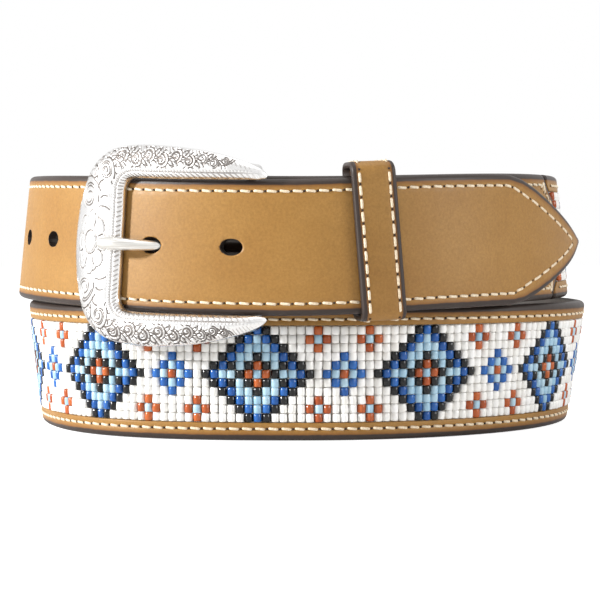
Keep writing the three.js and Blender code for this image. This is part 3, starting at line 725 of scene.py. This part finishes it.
def on_buckle(along, across, over):
    return on_strap(BAR_ON_BILLET + along, across + FRAME_CENTRE, over)


def bar_axes():
    """The bar's middle in the fold, and the tab's axes there."""
    point, ahead, across, out = (axis[0] for axis in strap_axes(np.array([BAR_ON_TAB])))
    middle = point - out * FOLD_RADIUS + SHIFT
    drop = np.dot(on_buckle(0, 0, -BAR_DEPTH) - middle, across)
    return middle + across * drop, ahead, across, out


def slot_cutter():
    """The slot in the fold through which the tongue's eye turns."""
    middle, ahead, across, out = bar_axes()
    corners = []
    for s in (-5.0, 6.0):
        for w, h in ((-3.1, -7), (3.1, -7), (3.1, 5.2), (-3.1, 5.2)):
            corners.append(middle + ahead * s + across * w + out * h)
    corners = np.array(corners)
    mesh = bpy.data.meshes.new("slot_cutter")
    mesh.from_pydata((corners * MM).tolist(), [], facing_out(corners, tube_faces(2, 4)))
    cutter = bpy.data.objects.new("slot_cutter", mesh)
    bpy.context.scene.collection.objects.link(cutter)
    return cutter


WINDOW_HALF = 13.9


def overlay_half(along):
    near_billet, near_tab = BILLET_END - along, along - TAB_END
    on_billet = np.where(near_billet > 0, bracket_half(near_billet), 0)
    on_tab = np.where(near_tab > 0, bracket_half(near_tab), 0)
    return np.maximum(on_billet, on_tab)


def make_borders():
    along = spaced(BILLET_END - 17, TAB_END + 17, 0.875)
    inner = np.maximum(WINDOW_HALF, overlay_half(along) + 0.15)
    outer = np.full_like(inner, HALF_BELT)
    rounds = (0.35, EDGE_ROUND)

    def lower(along, across, over):
        return on_strap(along, -across, over)

    top = leather_layer("top_margin_leather", along, inner, outer, 0, TAN + GAP - 0.02, rounds, (0, 1, 0), [TAN_LEATHER], columns=21)
    bottom = leather_layer("bottom_margin_leather", along, inner, outer, 0, TAN + GAP - 0.02, rounds, (0, 1, 0), [TAN_LEATHER], lower, columns=21)
    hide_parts("top_border")
    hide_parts("bottom_border")


make_straps()


# Stitches

def stitch_shape():
    """One stitch: a short rounded thread that dives into the leather at both ends."""
    rings, sides = 9, 6
    points = []
    for u in np.linspace(-1, 1, rings):
        rise = 0.16 - 0.55 * abs(u) ** 5
        radius = THREAD_RADIUS * (1 - 0.45 * abs(u) ** 6)
        for k in range(sides):
            angle = k / sides * 2 * math.pi
            points.append((u * STITCH_LENGTH / 2, radius * 1.05 * math.cos(angle), rise + radius * 0.8 * math.sin(angle)))
    points = np.array(points)
    return points, facing_out(points, tube_faces(rings, sides))


def hole_shape():
    """One needle hole: a small dimple between two stitches, coloured almost black as painted shadow in the hole."""
    angle = np.arange(8) / 8 * 2 * math.pi
    rim = np.stack([0.36 * np.cos(angle), 0.36 * np.sin(angle), np.full(8, 0.16)], axis=-1)
    foot = np.stack([0.2 * np.cos(angle), 0.2 * np.sin(angle), np.full(8, -0.5)], axis=-1)
    points = np.concatenate([rim, foot])
    return points, facing_out(points, tube_faces(2, 8))


def tip_share(along):
    """0 on the straight strap, 1 on the billet's point, where the stitches are longer and further in."""
    return smooth((-along - 66) / 14)


def resampled(line, pitch):
    """Points, headings and sizes at equal steps along a line of (along, across)."""
    longer = 1 + 0.42 * tip_share((line[1:, 0] + line[:-1, 0]) / 2)
    run = np.concatenate([[0], np.cumsum(np.linalg.norm(np.diff(line, axis=0), axis=1) / longer)])
    count = max(2, int(run[-1] / pitch))
    at = (np.arange(count) + 0.5) * run[-1] / count
    where = np.stack([np.interp(at, run, line[:, k]) for k in range(2)], axis=-1)
    ahead = np.stack([np.interp(at + 0.2, run, line[:, k]) for k in range(2)], axis=-1)
    behind = np.stack([np.interp(at - 0.2, run, line[:, k]) for k in range(2)], axis=-1)
    return where, unit(ahead - behind), 1 + 0.42 * tip_share(where[:, 0])


def sew(name, lines, place=None, over=-0.12, slant=11.0):
    """Stitches and needle holes along lines of (along, across), joined in two pieces."""
    rows = [resampled(np.asarray(line, dtype=float), STITCH_PITCH) for line in lines]
    where, heading, longer = (np.concatenate(parts) for parts in zip(*rows))
    turn = math.radians(slant) * (1.5 - longer)
    slanted = np.stack([heading[:, 0] * np.cos(turn) - heading[:, 1] * np.sin(turn),
                        heading[:, 0] * np.sin(turn) + heading[:, 1] * np.cos(turn)], axis=-1)
    place = place or on_strap

    def axes_for(way, at):
        step = 0.05
        here = place(at[:, 0], at[:, 1], np.full(len(at), over))
        ahead = unit(place(at[:, 0] + way[:, 0] * step, at[:, 1] + way[:, 1] * step, np.full(len(at), over)) - here)
        out = unit(place(at[:, 0], at[:, 1], np.full(len(at), over + 0.1)) - here)
        side = np.cross(out, ahead)
        return here, np.stack([ahead, side, out], axis=1)

    shape, faces = stitch_shape()
    here, axes = axes_for(slanted, where)
    axes[:, 0] *= longer[:, None]
    points, joined = many_copies(shape, faces, here, axes)
    make_piece(name + "_stitches", points, joined, [THREAD])
    shape, faces = hole_shape()
    between = where + heading * STITCH_PITCH * longer[:, None] / 2
    here, axes = axes_for(heading, between)
    points, joined = many_copies(shape, faces, here, axes)
    make_piece(name + "_needle_holes", points, joined, [HOLE_SHADOW])


def inside_outline(along, half, inset):
    """The outline (along, half width) moved in by inset, for the upper side."""
    slope = np.gradient(half, along)
    length = np.sqrt(1 + slope ** 2)
    moved_along = along + inset * slope / length
    moved_half = half - inset / length
    keep = moved_half > 0.4
    return moved_along[keep], moved_half[keep]


def make_stitches():
    along = np.concatenate([spaced(BILLET_TIP, BILLET_TIP + 48, 0.25), spaced(BILLET_TIP + 49, BILLET_END - 22, 2), spaced(BILLET_END - 21.8, BILLET_END, 0.25)])
    s, w = inside_outline(along, billet_half(along), STITCH_INSET + 1.3 * tip_share(along))
    order = np.argsort(s)
    s, w = s[order], w[order]
    upper = np.stack([s, w], axis=-1)
    lower = np.stack([s, -w], axis=-1)[::-1]
    sew("billet", [upper, lower])

    along = np.concatenate([spaced(TAB_END, TAB_END + 22, 0.25), spaced(TAB_END + 23, BAR_ON_TAB - 7, 2)])
    s, w = inside_outline(along, tab_half(along), STITCH_INSET)
    order = np.argsort(s)
    s, w = s[order], w[order]
    sew("tab", [np.stack([s, w], axis=-1), np.stack([s, -w], axis=-1)[::-1]])

    row = HALF_BELT - STITCH_INSET
    along = spaced(BILLET_END - 12, TAB_END + 12, 4)
    sew("top_margin", [np.stack([along, np.full_like(along, row)], axis=-1)])
    sew("bottom_margin", [np.stack([along, np.full_like(along, -row)], axis=-1)])


make_stitches()


# Beads

def figure_colour(column, row):
    """Colour letter of the bead at a column from the figure's centre and a row from the middle."""
    c = (column + FIGURE_PERIOD // 2) % FIGURE_PERIOD - FIGURE_PERIOD // 2
    c, r = abs(c), abs(row)
    diamond = [
        {6: "K", 5: "B", 4: "L", 3: "L", 2: "K", 1: "R", 0: "L"},
        {5: "K", 4: "B", 3: "K", 2: "L", 1: "K", 0: "R"},
        {4: "K", 3: "B", 2: "L", 1: "L", 0: "K"},
        {3: "K", 2: "B", 1: "L", 0: "L"},
        {2: "K", 1: "B", 0: "L"},
        {1: "K", 0: "B"},
    ]
    flower = [{8: "B", 9: "L", 10: "R"}, {9: "B", 10: "L"}, {10: "B"}]
    if c in diamond[r]:
        return diamond[r][c]
    if r < 3 and c in flower[r]:
        return flower[r][c]
    cross = abs(c - 7) + abs(r - 4)
    if cross == 0:
        return "L"
    if cross == 1:
        return "R"
    return "W"


def bead_shape():
    """A short glass bead with its axis, where its hole would run, across the strap and softened rims; the hole itself
    is not cut.
    """
    half = BEAD_LENGTH / 2
    profile = [(-half, 0.85), (-half + 0.06, 1.06), (-half + 0.26, BEAD_RADIUS - 0.03), (0, BEAD_RADIUS),
               (half - 0.26, BEAD_RADIUS - 0.03), (half - 0.06, 1.06), (half, 0.85)]
    sides = 10
    points = []
    for x, radius in profile:
        for k in range(sides):
            angle = k / sides * 2 * math.pi
            points.append((radius * math.cos(angle), x, radius * math.sin(angle)))
    points = np.array(points)
    faces = tube_faces(len(profile), sides)
    return points, facing_out(points, faces)


def make_beads():
    rng = np.random.default_rng(7)
    first = math.ceil((BILLET_END - 14 - FIGURE_CENTRE) / BEAD_PITCH)
    last = math.floor((TAB_END + 14 - FIGURE_CENTRE) / BEAD_PITCH)
    strings = {letter: [] for letter in BEAD_GLASS}
    for column in range(first, last + 1):
        along = FIGURE_CENTRE + column * BEAD_PITCH
        covered = overlay_half(np.array([along - 1.2, along + 1.2])).max()
        for row in range(-(BEAD_ROWS // 2), BEAD_ROWS // 2 + 1):
            if abs(row) * BEAD_PITCH - BEAD_PITCH / 2 < covered and covered > 0:
                continue
            strings[figure_colour(column, row)].append((along, row * BEAD_PITCH))
    shape, faces = bead_shape()
    for letter, (name, glass) in BEAD_GLASS.items():
        places = np.array(strings[letter])
        groups = np.array_split(places, 3) if letter == "W" else [places]
        for number, group in enumerate(groups):
            along = group[:, 0] + rng.normal(0, 0.05, len(group))
            across = group[:, 1] + rng.normal(0, 0.04, len(group))
            over = -0.93 + rng.normal(0, 0.04, len(group))
            _, ahead, sideways, out = strap_axes(along)
            roll = rng.normal(0, 0.05, len(group))[:, None]
            spin = rng.uniform(0, math.pi, len(group))[:, None]
            side = unit(sideways + ahead * roll)
            ahead = unit(np.cross(side, out))
            out = np.cross(ahead, side)
            turned = ahead * np.cos(spin) + out * np.sin(spin)
            upright = out * np.cos(spin) - ahead * np.sin(spin)
            size = rng.normal(1, 0.015, len(group))[:, None, None]
            axes = np.stack([turned, side, upright], axis=1) * size
            points, joined = many_copies(shape, faces, on_strap(along, across, over), axes)
            tones = np.repeat(rng.uniform(0, 1, len(group)), len(shape))
            piece_name = name if len(groups) == 1 else f"{name}_{number + 1}"
            beads = make_piece(piece_name, points, joined, [glass], {"bead_tone": tones})
            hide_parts("bead_panel")


def make_bead_backing():
    """The backing cloth under the beads and the warp threads between their rows."""
    along = spaced(BILLET_END - 12, TAB_END + 12, 2.6)
    half = 13.75
    corners = [(-half, -1.75), (half, -1.75), (half, -2.15), (-half, -2.15)]
    points = np.stack([on_strap(along, w, h) for w, h in corners], axis=1).reshape(-1, 3)
    faces = facing_out(points, tube_faces(len(along), 4))
    make_piece("bead_backing_cloth", points, faces, [CLOTH])
    rows, joined = [], []
    for k in range(BEAD_ROWS + 1):
        w = (k - BEAD_ROWS / 2) * BEAD_PITCH
        ring = [(w + 0.16 * math.cos(a), -0.9 + 0.16 * math.sin(a)) for a in (0, math.pi / 2, math.pi, 3 * math.pi / 2)]
        thread = np.stack([on_strap(along, x, h) for x, h in ring], axis=1).reshape(-1, 3)
        start = len(rows) * len(thread)
        joined.extend(tuple(start + i for i in face) for face in facing_out(thread, tube_faces(len(along), 4)))
        rows.append(thread)
    make_piece("bead_warp_threads", np.concatenate(rows), joined, [CLOTH])


make_beads()
make_bead_backing()


# Keeper

KEEPER_WIDTH, KEEPER_WALL, KEEPER_ALONG = 12.7, 1.8, -22.0
KEEPER_TILT, KEEPER_RISE, KEEPER_HALF, KEEPER_SLACK = 0.041, 1.1, 20.6, 0.4


def keeper_loop(count):
    """The keeper's inner loop in its section, as (across, over) and the outward normal."""
    top = KEEPER_SLACK
    bottom = -(STRAP + GAP + STRAP + GAP + TAN + KEEPER_SLACK)
    radius = 1.4
    w, middle = KEEPER_HALF, (top + bottom) / 2
    high = (top - bottom) / 2
    corners = [(w - radius, high - radius, 0), (-w + radius, high - radius, 90), (-w + radius, -high + radius, 180), (w - radius, -high + radius, 270)]
    line, normals = [], []
    for x, y, start in corners:
        for k in range(7):
            angle = math.radians(start + k * 15)
            line.append((x + radius * math.cos(angle), y + radius * math.sin(angle) + middle))
            normals.append((math.cos(angle), math.sin(angle)))
    line, normals = np.array(line), np.array(normals)
    ring = np.vstack([line, line[:1]])
    run = np.concatenate([[0], np.cumsum(np.linalg.norm(np.diff(ring, axis=0), axis=1))])
    at = np.arange(count) / count * run[-1]
    where = np.stack([np.interp(at, run, ring[:, k]) for k in range(2)], axis=-1)
    turned = np.vstack([normals, normals[:1]])
    facing = unit(np.stack([np.interp(at, run, turned[:, k]) for k in range(2)], axis=-1))
    return where, facing


def keeper_point(where, facing, along, lift):
    """A point on the keeper: loop place, its normal, position along the belt, height over the loop."""
    spot = where + facing * lift[..., None]
    w = spot[..., 0]
    return on_strap(KEEPER_ALONG + along + KEEPER_TILT * w, w + KEEPER_RISE, spot[..., 1])


def make_keeper():
    around = 220
    where, facing = keeper_loop(around)
    half = KEEPER_WIDTH / 2
    section = []
    for x in np.linspace(-half + 0.9, half - 0.9, 25):
        section.append((x, KEEPER_WALL))
    for k in range(1, 6):
        angle = k / 5 * math.pi / 2
        section.append((half - 0.9 + 0.9 * math.sin(angle), KEEPER_WALL - 0.9 + 0.9 * math.cos(angle)))
    section += [(half, 0.0), (0.0, 0.0), (-half, 0.0)]
    for k in range(5, 0, -1):
        angle = k / 5 * math.pi / 2
        section.append((-half + 0.9 - 0.9 * math.sin(angle), KEEPER_WALL - 0.9 + 0.9 * math.cos(angle)))
    section = np.array(section)
    from_edge = np.minimum(half - np.abs(section[:, 0]), 50)
    from_edge = np.where(section[:, 1] < KEEPER_WALL - 0.3, 0.3, from_edge)
    from_edge = np.where((section[:, 1] == 0) & (np.abs(section[:, 0]) < 1), 3.0, from_edge)
    run = np.arange(around) / around * 104
    sunk = np.exp(-((np.abs(section[:, 0]) - (half - 2.1)) / 0.5) ** 2) * (section[:, 1] >= KEEPER_WALL)
    lift = section[:, 1][None] - sunk[None] * (0.13 + 0.07 * np.cos(2 * math.pi * run / 3.7))[:, None]
    shape = (around, len(section))
    spots = np.broadcast_to(where[:, None], shape + (2,))
    normals = np.broadcast_to(facing[:, None], shape + (2,))
    along = np.broadcast_to(section[:, 0][None], shape)
    points = keeper_point(spots, normals, along, lift).reshape(-1, 3)
    faces = facing_out(points, tube_faces(around, len(section), closed=True))
    marks = {"from_edge": np.broadcast_to(from_edge[None] + 0.35, shape), "along": along}
    keeper = make_piece("keeper_leather", points, faces, [TAN_LEATHER], marks)
    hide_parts("keeper")

    count = 28
    where, facing = keeper_loop(count)
    shape_points, shape_faces = stitch_shape()
    hole_points, hole_faces = hole_shape()
    for name, points_of, faces_of, material, phase in (("keeper_stitches", shape_points, shape_faces, THREAD, 0.0), ("keeper_needle_holes", hole_points, hole_faces, HOLE_SHADOW, 0.5)):
        origins, axes = [], []
        fine_where, fine_facing = keeper_loop(count * 8)
        for k in range(count):
            i = int((k + phase) * 8) % (count * 8)
            for x in (-half + 2.1, half - 2.1):
                lifts = np.array([KEEPER_WALL - 0.1, KEEPER_WALL, KEEPER_WALL - 0.1])
                spots = fine_where[[i, i, (i + 1) % (count * 8)]]
                ways = fine_facing[[i, i, (i + 1) % (count * 8)]]
                here, above, ahead = keeper_point(spots, ways, np.full(3, x), lifts)
                forward = unit(ahead - here)
                out = unit(above - here)
                side = unit(np.cross(out, forward))
                origins.append(here)
                axes.append(np.stack([np.cross(side, out), side, out]))
        points, joined = many_copies(points_of, faces_of, np.array(origins), np.array(axes))
        make_piece(name, points, joined, [material])


make_keeper()


# Buckle

STAND_OFF, RIM = 0.5, 1.4
FRAME_HALF = np.array([
    [-4.9, 20.1, -4.3, 19.2, 1.2],
    [-3.4, 21.6, -2.2, 18.9, 2.2],
    [0.4, 23.5, 0.8, 18.9, 3],
    [6, 25.3, 6, 18.9, 3.5],
    [13, 26.9, 13, 18.9, 3.8],
    [21, 27.9, 21, 18.9, 4],
    [29, 28.4, 28, 18.9, 4.1],
    [36, 28.3, 34.4, 18.9, 4.2],
    [42.5, 27.4, 37.2, 18.5, 4.3],
    [47.8, 25.1, 38.8, 17.1, 4.4],
    [52.2, 20.9, 39.4, 15, 4.5],
    [55, 15.2, 39.4, 11.4, 4.5],
    [56.9, 8, 39.4, 6.2, 4.5],
    [57.6, 0, 39.4, 0, 4.5],
])
BAR_REACH, POST_RADIUS = 22.0, 1.5


def smooth_rows(rows, count):
    """Rows blended by a Catmull-Rom curve through them, at count even steps."""
    rows = np.vstack([2 * rows[0] - rows[1], rows, 2 * rows[-1] - rows[-2]])
    at = np.linspace(0, len(rows) - 3, count)
    k = np.minimum(at.astype(int), len(rows) - 4)
    t = (at - k)[:, None]
    p0, p1, p2, p3 = (rows[k + i] for i in range(4))
    return 0.5 * (2 * p1 + (p2 - p0) * t + (2 * p0 - 5 * p1 + 4 * p2 - p3) * t ** 2 + (3 * p1 - p0 - 3 * p2 + p3) * t ** 3)


def frame_rows(count):
    flipped = FRAME_HALF[:-1][::-1] * np.array([1, -1, 1, -1, 1])
    rows = smooth_rows(np.vstack([FRAME_HALF, flipped]), count)
    return rows


def dome_height(share, crown):
    rise = np.sin(math.pi * np.clip(share, 0, 1)) ** 0.6
    rim = np.minimum(RIM, crown * 0.6)
    return STAND_OFF + rim + (crown - rim) * rise


def stroke(distance, half):
    """A soft ridge across a line, from 1 on it to 0 at half its width."""
    return np.clip(1 - (distance / half) ** 2, 0, 1)


def curl(u, v, radius, start, turns, way, shrink=0.8):
    """A spiral line from its rim inwards, its start angle and turns in degrees and turns."""
    t = np.linspace(0, 1, int(16 + 18 * turns))
    angle = math.radians(start) + way * t * turns * 2 * math.pi
    r = radius * (1 - shrink * t)
    return np.stack([u + r * np.cos(angle), v + r * np.sin(angle)], axis=-1)


def stroke_from(u, v, length, heading, bend):
    """A short curved cut from a point, its heading and bend in degrees."""
    t = np.linspace(0, 1, 9)
    angle = np.radians(heading + bend * t)
    step = length / 8
    return np.stack([u + np.cumsum(np.cos(angle)) * step, v + np.cumsum(np.sin(angle)) * step], axis=-1)


def scroll_lines(width_at):
    """Cut lines of the scrollwork on one arm, as (u, v) in mm along the frame and out from its inner edge.

    Common acanthus scrolls: curls that turn this way and that along a stem, with leaf cuts outside.
    """
    lines = []
    u, way = 12.6, 1
    while u < 62:
        room = float(width_at(u)) - 3.6
        radius = max(1.05, 0.32 * room)
        v = 3.0 + room * (0.5 + 0.12 * way)
        lines.append(curl(u, v, radius, -100 * way, 1.55, way))
        if radius > 1.5:
            lines.append(curl(u, v, radius * 0.8, -70 * way, 1.0, way, 0.7))
        lines.append(curl(u, v, radius * 1.3, -60 * way, 0.42, way, 0.1))
        for k in range(9 if radius > 1.3 else 3):
            turn = math.radians(-150 * way + way * k * 33)
            reach = radius * 1.16
            heading = math.degrees(turn) + 62 * way
            start = (u + reach * math.cos(turn), v + reach * math.sin(turn))
            lines.append(stroke_from(*start, radius * (0.62 + 0.22 * (k % 2)), heading, -70 * way))
        lines.append(stroke_from(u + radius * 1.05, v - way * radius * 0.7, radius * 1.9, 12 * way, 48 * way))
        lines.append(stroke_from(u + radius * 1.15, v - way * radius * 0.25, radius * 1.6, 25 * way, 60 * way))
        u += radius * 2.05 + 0.5
        way = -way
    return lines


def nearest_line(u, v, lines):
    """Distance in mm from each point of the frame to the nearest cut line."""
    nearest = np.full(u.shape, 9.0)
    for line in lines:
        low, high = line.min(axis=0) - 1, line.max(axis=0) + 1
        close = (u > low[0]) & (u < high[0]) & (v > low[1]) & (v < high[1])
        if not close.any():
            continue
        pu, pv = u[close], v[close]
        gap = np.full(pu.shape, 81.0)
        for a, b in zip(line[:-1], line[1:]):
            along = b - a
            t = np.clip(((pu - a[0]) * along[0] + (pv - a[1]) * along[1]) / max(1e-9, along @ along), 0, 1)
            gap = np.minimum(gap, (pu - a[0] - t * along[0]) ** 2 + (pv - a[1] - t * along[1]) ** 2)
        nearest[close] = np.minimum(nearest[close], np.sqrt(gap))
    return nearest


def cut(distance, half):
    """A narrow engraved cut: 1 on its line, 0 from half its width on."""
    return np.clip(1 - (distance / half) ** 2, 0, 1)


def relief(u, v, width, width_at):
    """Height of the cast ornament over the dome in mm, and how dark its cuts are.

    The ornament is a rope edge along the inner rim, a fine beaded line beside it, a flower in the
    middle of the left side and scrolls along both arms, in a common western style.
    """
    fade = np.clip((width - 3.6) / 2.4, 0, 1)
    rope_half = 0.7
    rope = stroke(np.abs(v - 0.9), rope_half)
    twist = 0.5 + 0.5 * np.cos(2 * math.pi * (u + (v - 0.9) * 0.85) / 1.6)
    height = 0.3 * np.sqrt(rope) * (0.35 + 0.65 * np.sqrt(twist))
    dark = 0.6 * (rope > 0) * (1 - twist) ** 2
    edge_line = cut(np.abs(v - 1.75), 0.18)
    height -= 0.16 * edge_line
    dark = np.maximum(dark, 0.6 * edge_line)
    dots = stroke(np.abs(v - 2.25), 0.36) * (0.5 + 0.5 * np.cos(2 * math.pi * u / 0.95))
    band = stroke(np.abs(v - 2.25), 0.42)
    height += 0.14 * dots
    dark = np.maximum(dark, 0.45 * np.sqrt(band) * (1 - dots) ** 2)

    in_field = (v > 2.75) & (v < width - 0.35)
    middle_v = 8.9
    du, dv = u, v - middle_v
    oval = np.sqrt((dv / 2.5) ** 2 + (du / 3.4) ** 2)
    angle = np.arctan2(dv / 5.9, du / 9.4)
    spread = np.sqrt((dv / 5.9) ** 2 + (du / 9.4) ** 2)
    lobe = np.abs(np.cos(4 * angle))
    petals = 0.70 + 0.30 * np.sqrt(lobe)
    notch = np.clip((0.34 - lobe) / 0.34, 0, 1)
    inner_curl = cut(np.abs(spread - (0.52 + 0.2 * lobe)), 0.022) * (lobe > 0.55)
    on_flower = (spread < petals) & in_field
    rim = cut(np.abs(spread - petals), 0.06) * in_field
    split = cut(np.abs(np.sin(4 * angle + math.pi / 2)) * spread * 6.0 / 4, 0.2) * (spread > 0.5) * (lobe < 0.3)
    ring = cut(np.abs(oval - 1.0), 0.085)
    hatch = 0.5 + 0.5 * np.cos(2 * math.pi * (du * 0.55 + dv) / 0.8)
    boss = oval < 0.84
    flower_dark = np.maximum.reduce([split, 0.85 * inner_curl, ring])
    flower_height = 0.22 * np.clip((petals - spread) / 0.12, 0, 1) - 0.18 * flower_dark - 0.08 * notch
    height = np.where(on_flower, flower_height, height)
    dark = np.where(on_flower, flower_dark, dark)
    height = np.where(boss & on_flower, 0.3 + 0.3 * (1 - oval ** 2) - 0.08 * hatch, height)
    dark = np.where(boss & on_flower, 0.5 * (hatch > 0.66), dark)
    dark = np.maximum(dark, 0.95 * rim)
    height -= 0.14 * rim

    open_field = in_field & ~on_flower
    lines = scroll_lines(width_at)
    both = lines + [line * np.array([-1, 1]) for line in lines]
    nearest = nearest_line(u, v, both)
    line_cut = cut(nearest, 0.26)
    swell = 0.5 + 0.5 * np.cos(2 * math.pi * np.clip(nearest, 0, 0.9) / 0.9)
    height = np.where(open_field, 0.1 * (1 - swell) - 0.2 * line_cut, height)
    dark = np.where(open_field, np.maximum(dark * (v < 3.1), 0.95 * line_cut), dark)
    feather = open_field & (v > width - 2.1)
    comb = 0.5 + 0.5 * np.cos(2 * math.pi * (u + 0.6 * v) / 1.05)
    dark = np.where(feather, np.maximum(dark, 0.5 * (comb > 0.8)), dark)
    height = np.where(feather, height - 0.06 * comb, height)
    return height * fade, np.clip(dark, 0, 1) * (0.3 + 0.7 * fade)


def make_buckle_frame():
    around, across_count = 880, 104
    rows = frame_rows(around)
    middle = (rows[:, :2] + rows[:, 2:4]) / 2
    run = np.concatenate([[0], np.cumsum(np.linalg.norm(np.diff(middle, axis=0), axis=1))])
    run -= run[around // 2]
    width = np.linalg.norm(rows[:, :2] - rows[:, 2:4], axis=1)
    share = np.linspace(0, 1, across_count)[None]
    s = rows[:, 2, None] + (rows[:, 0] - rows[:, 2])[:, None] * share
    w = rows[:, 3, None] + (rows[:, 1] - rows[:, 3])[:, None] * share
    crown = rows[:, 4, None]
    u = np.broadcast_to(-run[:, None], s.shape)
    v = share * width[:, None]
    half_run, half_width = run[around // 2:], width[around // 2:]

    def width_at(place):
        return np.interp(place, half_run, half_width)

    lift, dark = relief(u, v, np.broadcast_to(width[:, None], s.shape), width_at)
    edge_fade = smooth(np.minimum(share, 1 - share) * width[:, None] / 0.5)
    over = dome_height(share, crown) + lift * edge_fade - 0.15
    top = on_buckle(s, w, over)
    foot_share = np.array([1, 1, 0.66, 0.33, 0, 0])[None]
    foot_over = np.array([STAND_OFF + 0.5, STAND_OFF, STAND_OFF, STAND_OFF, STAND_OFF, STAND_OFF + 0.5])[None]
    fs = rows[:, 2, None] + (rows[:, 0] - rows[:, 2])[:, None] * foot_share
    fw = rows[:, 3, None] + (rows[:, 1] - rows[:, 3])[:, None] * foot_share
    foot = on_buckle(fs, fw, np.broadcast_to(foot_over, fs.shape))
    points = np.concatenate([top, foot], axis=1)
    count = points.shape[1]
    darkness = np.concatenate([dark, np.full(fs.shape, 0.3)], axis=1)
    points = points.reshape(-1, 3)
    faces = facing_out(points, tube_faces(around, count))
    buckle = make_piece("buckle_casting", points, faces, [SILVER], {"groove": darkness})
    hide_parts("buckle_frame")

    centre, ahead, across, out = bar_axes()
    rods = [(centre + across * BAR_REACH, centre - across * BAR_REACH, BAR_RADIUS)]
    for side in (1, -1):
        foot = centre - out * 1.2 + across * side * BAR_REACH
        head = on_buckle(0.6, side * BAR_REACH, STAND_OFF + 1.6)
        rods.append((foot, head, POST_RADIUS))
    points, joined = [], []
    for start, end, radius in rods:
        rod, faces = round_rod(start, end, radius)
        joined.extend(tuple(len(points) + i for i in face) for face in faces)
        points.extend(rod)
    make_piece("buckle_bar_and_posts", points, joined, [SILVER], {"groove": np.full(len(points), 0.2)})


def round_rod(start, end, radius, sides=24, rounding=0.35):
    """A straight rod with softened ends."""
    ahead = unit(end - start)
    side = unit(np.cross(ahead, [0.3, 0.8, 0.52]))
    up = np.cross(ahead, side)
    length = np.linalg.norm(end - start)
    stops = [(0, radius - rounding), (rounding * 0.4, radius - rounding * 0.3), (rounding, radius),
             (length - rounding, radius), (length - rounding * 0.4, radius - rounding * 0.3), (length, radius - rounding)]
    points = []
    for x, r in stops:
        for k in range(sides):
            angle = k / sides * 2 * math.pi
            points.append(start + ahead * x + side * r * math.cos(angle) + up * r * math.sin(angle))
    points = np.array(points)
    return points, facing_out(points, tube_faces(len(stops), sides))


TONGUE_PATH = np.array([
    [2.4, -6.7, 1.5],
    [9, -6.3, 1.5],
    [17.5, -6, 1.45],
    [23.2, -5.3, 1.45],
    [27.1, -2.7, 1.45],
    [30.9, 0.6, 1.5],
    [34.6, 3.3, 1.7],
    [38.8, 5.4, 1.9],
    [42.6, 6, 1.9],
    [43.9, 6, 1.2],
])


def make_tongue():
    """The round tongue, its rounded end and the eye that turns on the bar."""
    rows = smooth_rows(TONGUE_PATH, 90)
    end = rows[-1]
    rows = np.vstack([rows, [end[0] + 0.25, end[1], 0.75], [end[0] + 0.35, end[1], 0.25]])
    line = on_strap(BAR_ON_BILLET + rows[:, 0], FRAME_CENTRE, rows[:, 1])
    ahead = unit(np.gradient(line, axis=0))
    across = strap_axes(BAR_ON_BILLET + rows[:, 0])[2]
    out = unit(np.cross(ahead, across))
    sides = 28
    angle = np.arange(sides) / sides * 2 * math.pi
    ring = across[:, None] * np.cos(angle)[None, :, None] + out[:, None] * np.sin(angle)[None, :, None]
    points = (line[:, None] + ring * rows[:, 2][:, None, None]).reshape(-1, 3)
    faces = facing_out(points, tube_faces(len(rows), sides))
    # painted shade: the rod is coloured darker the deeper it dips under the leather face
    painted_shade = np.repeat(smooth((-2.2 - rows[:, 1]) / 2.2), sides)
    tongue = make_piece("tongue_rod", points, faces, [TONGUE_SILVER], {"painted_shade": painted_shade})
    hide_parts("tongue")

    centre, ahead, across, out = bar_axes()
    inner, outer, half = BAR_RADIUS + GAP, BAR_RADIUS + GAP + 1.5, 2.5
    section = [(inner, -half), (outer - 0.4, -half), (outer, -half + 0.4), (outer, half - 0.4), (outer - 0.4, half), (inner, half)]
    points = []
    for k in range(36):
        angle = k / 36 * 2 * math.pi
        way = ahead * math.cos(angle) + out * math.sin(angle)
        points.extend(centre + way * radius + across * x for radius, x in section)
    points = np.array(points)
    faces = facing_out(points, tube_faces(36, len(section), closed=True))
    # painted shade: the whole eye inside the fold is coloured dark
    make_piece("tongue_eye", points, faces, [TONGUE_SILVER], {"painted_shade": np.ones(len(points))})


make_buckle_frame()
make_tongue()
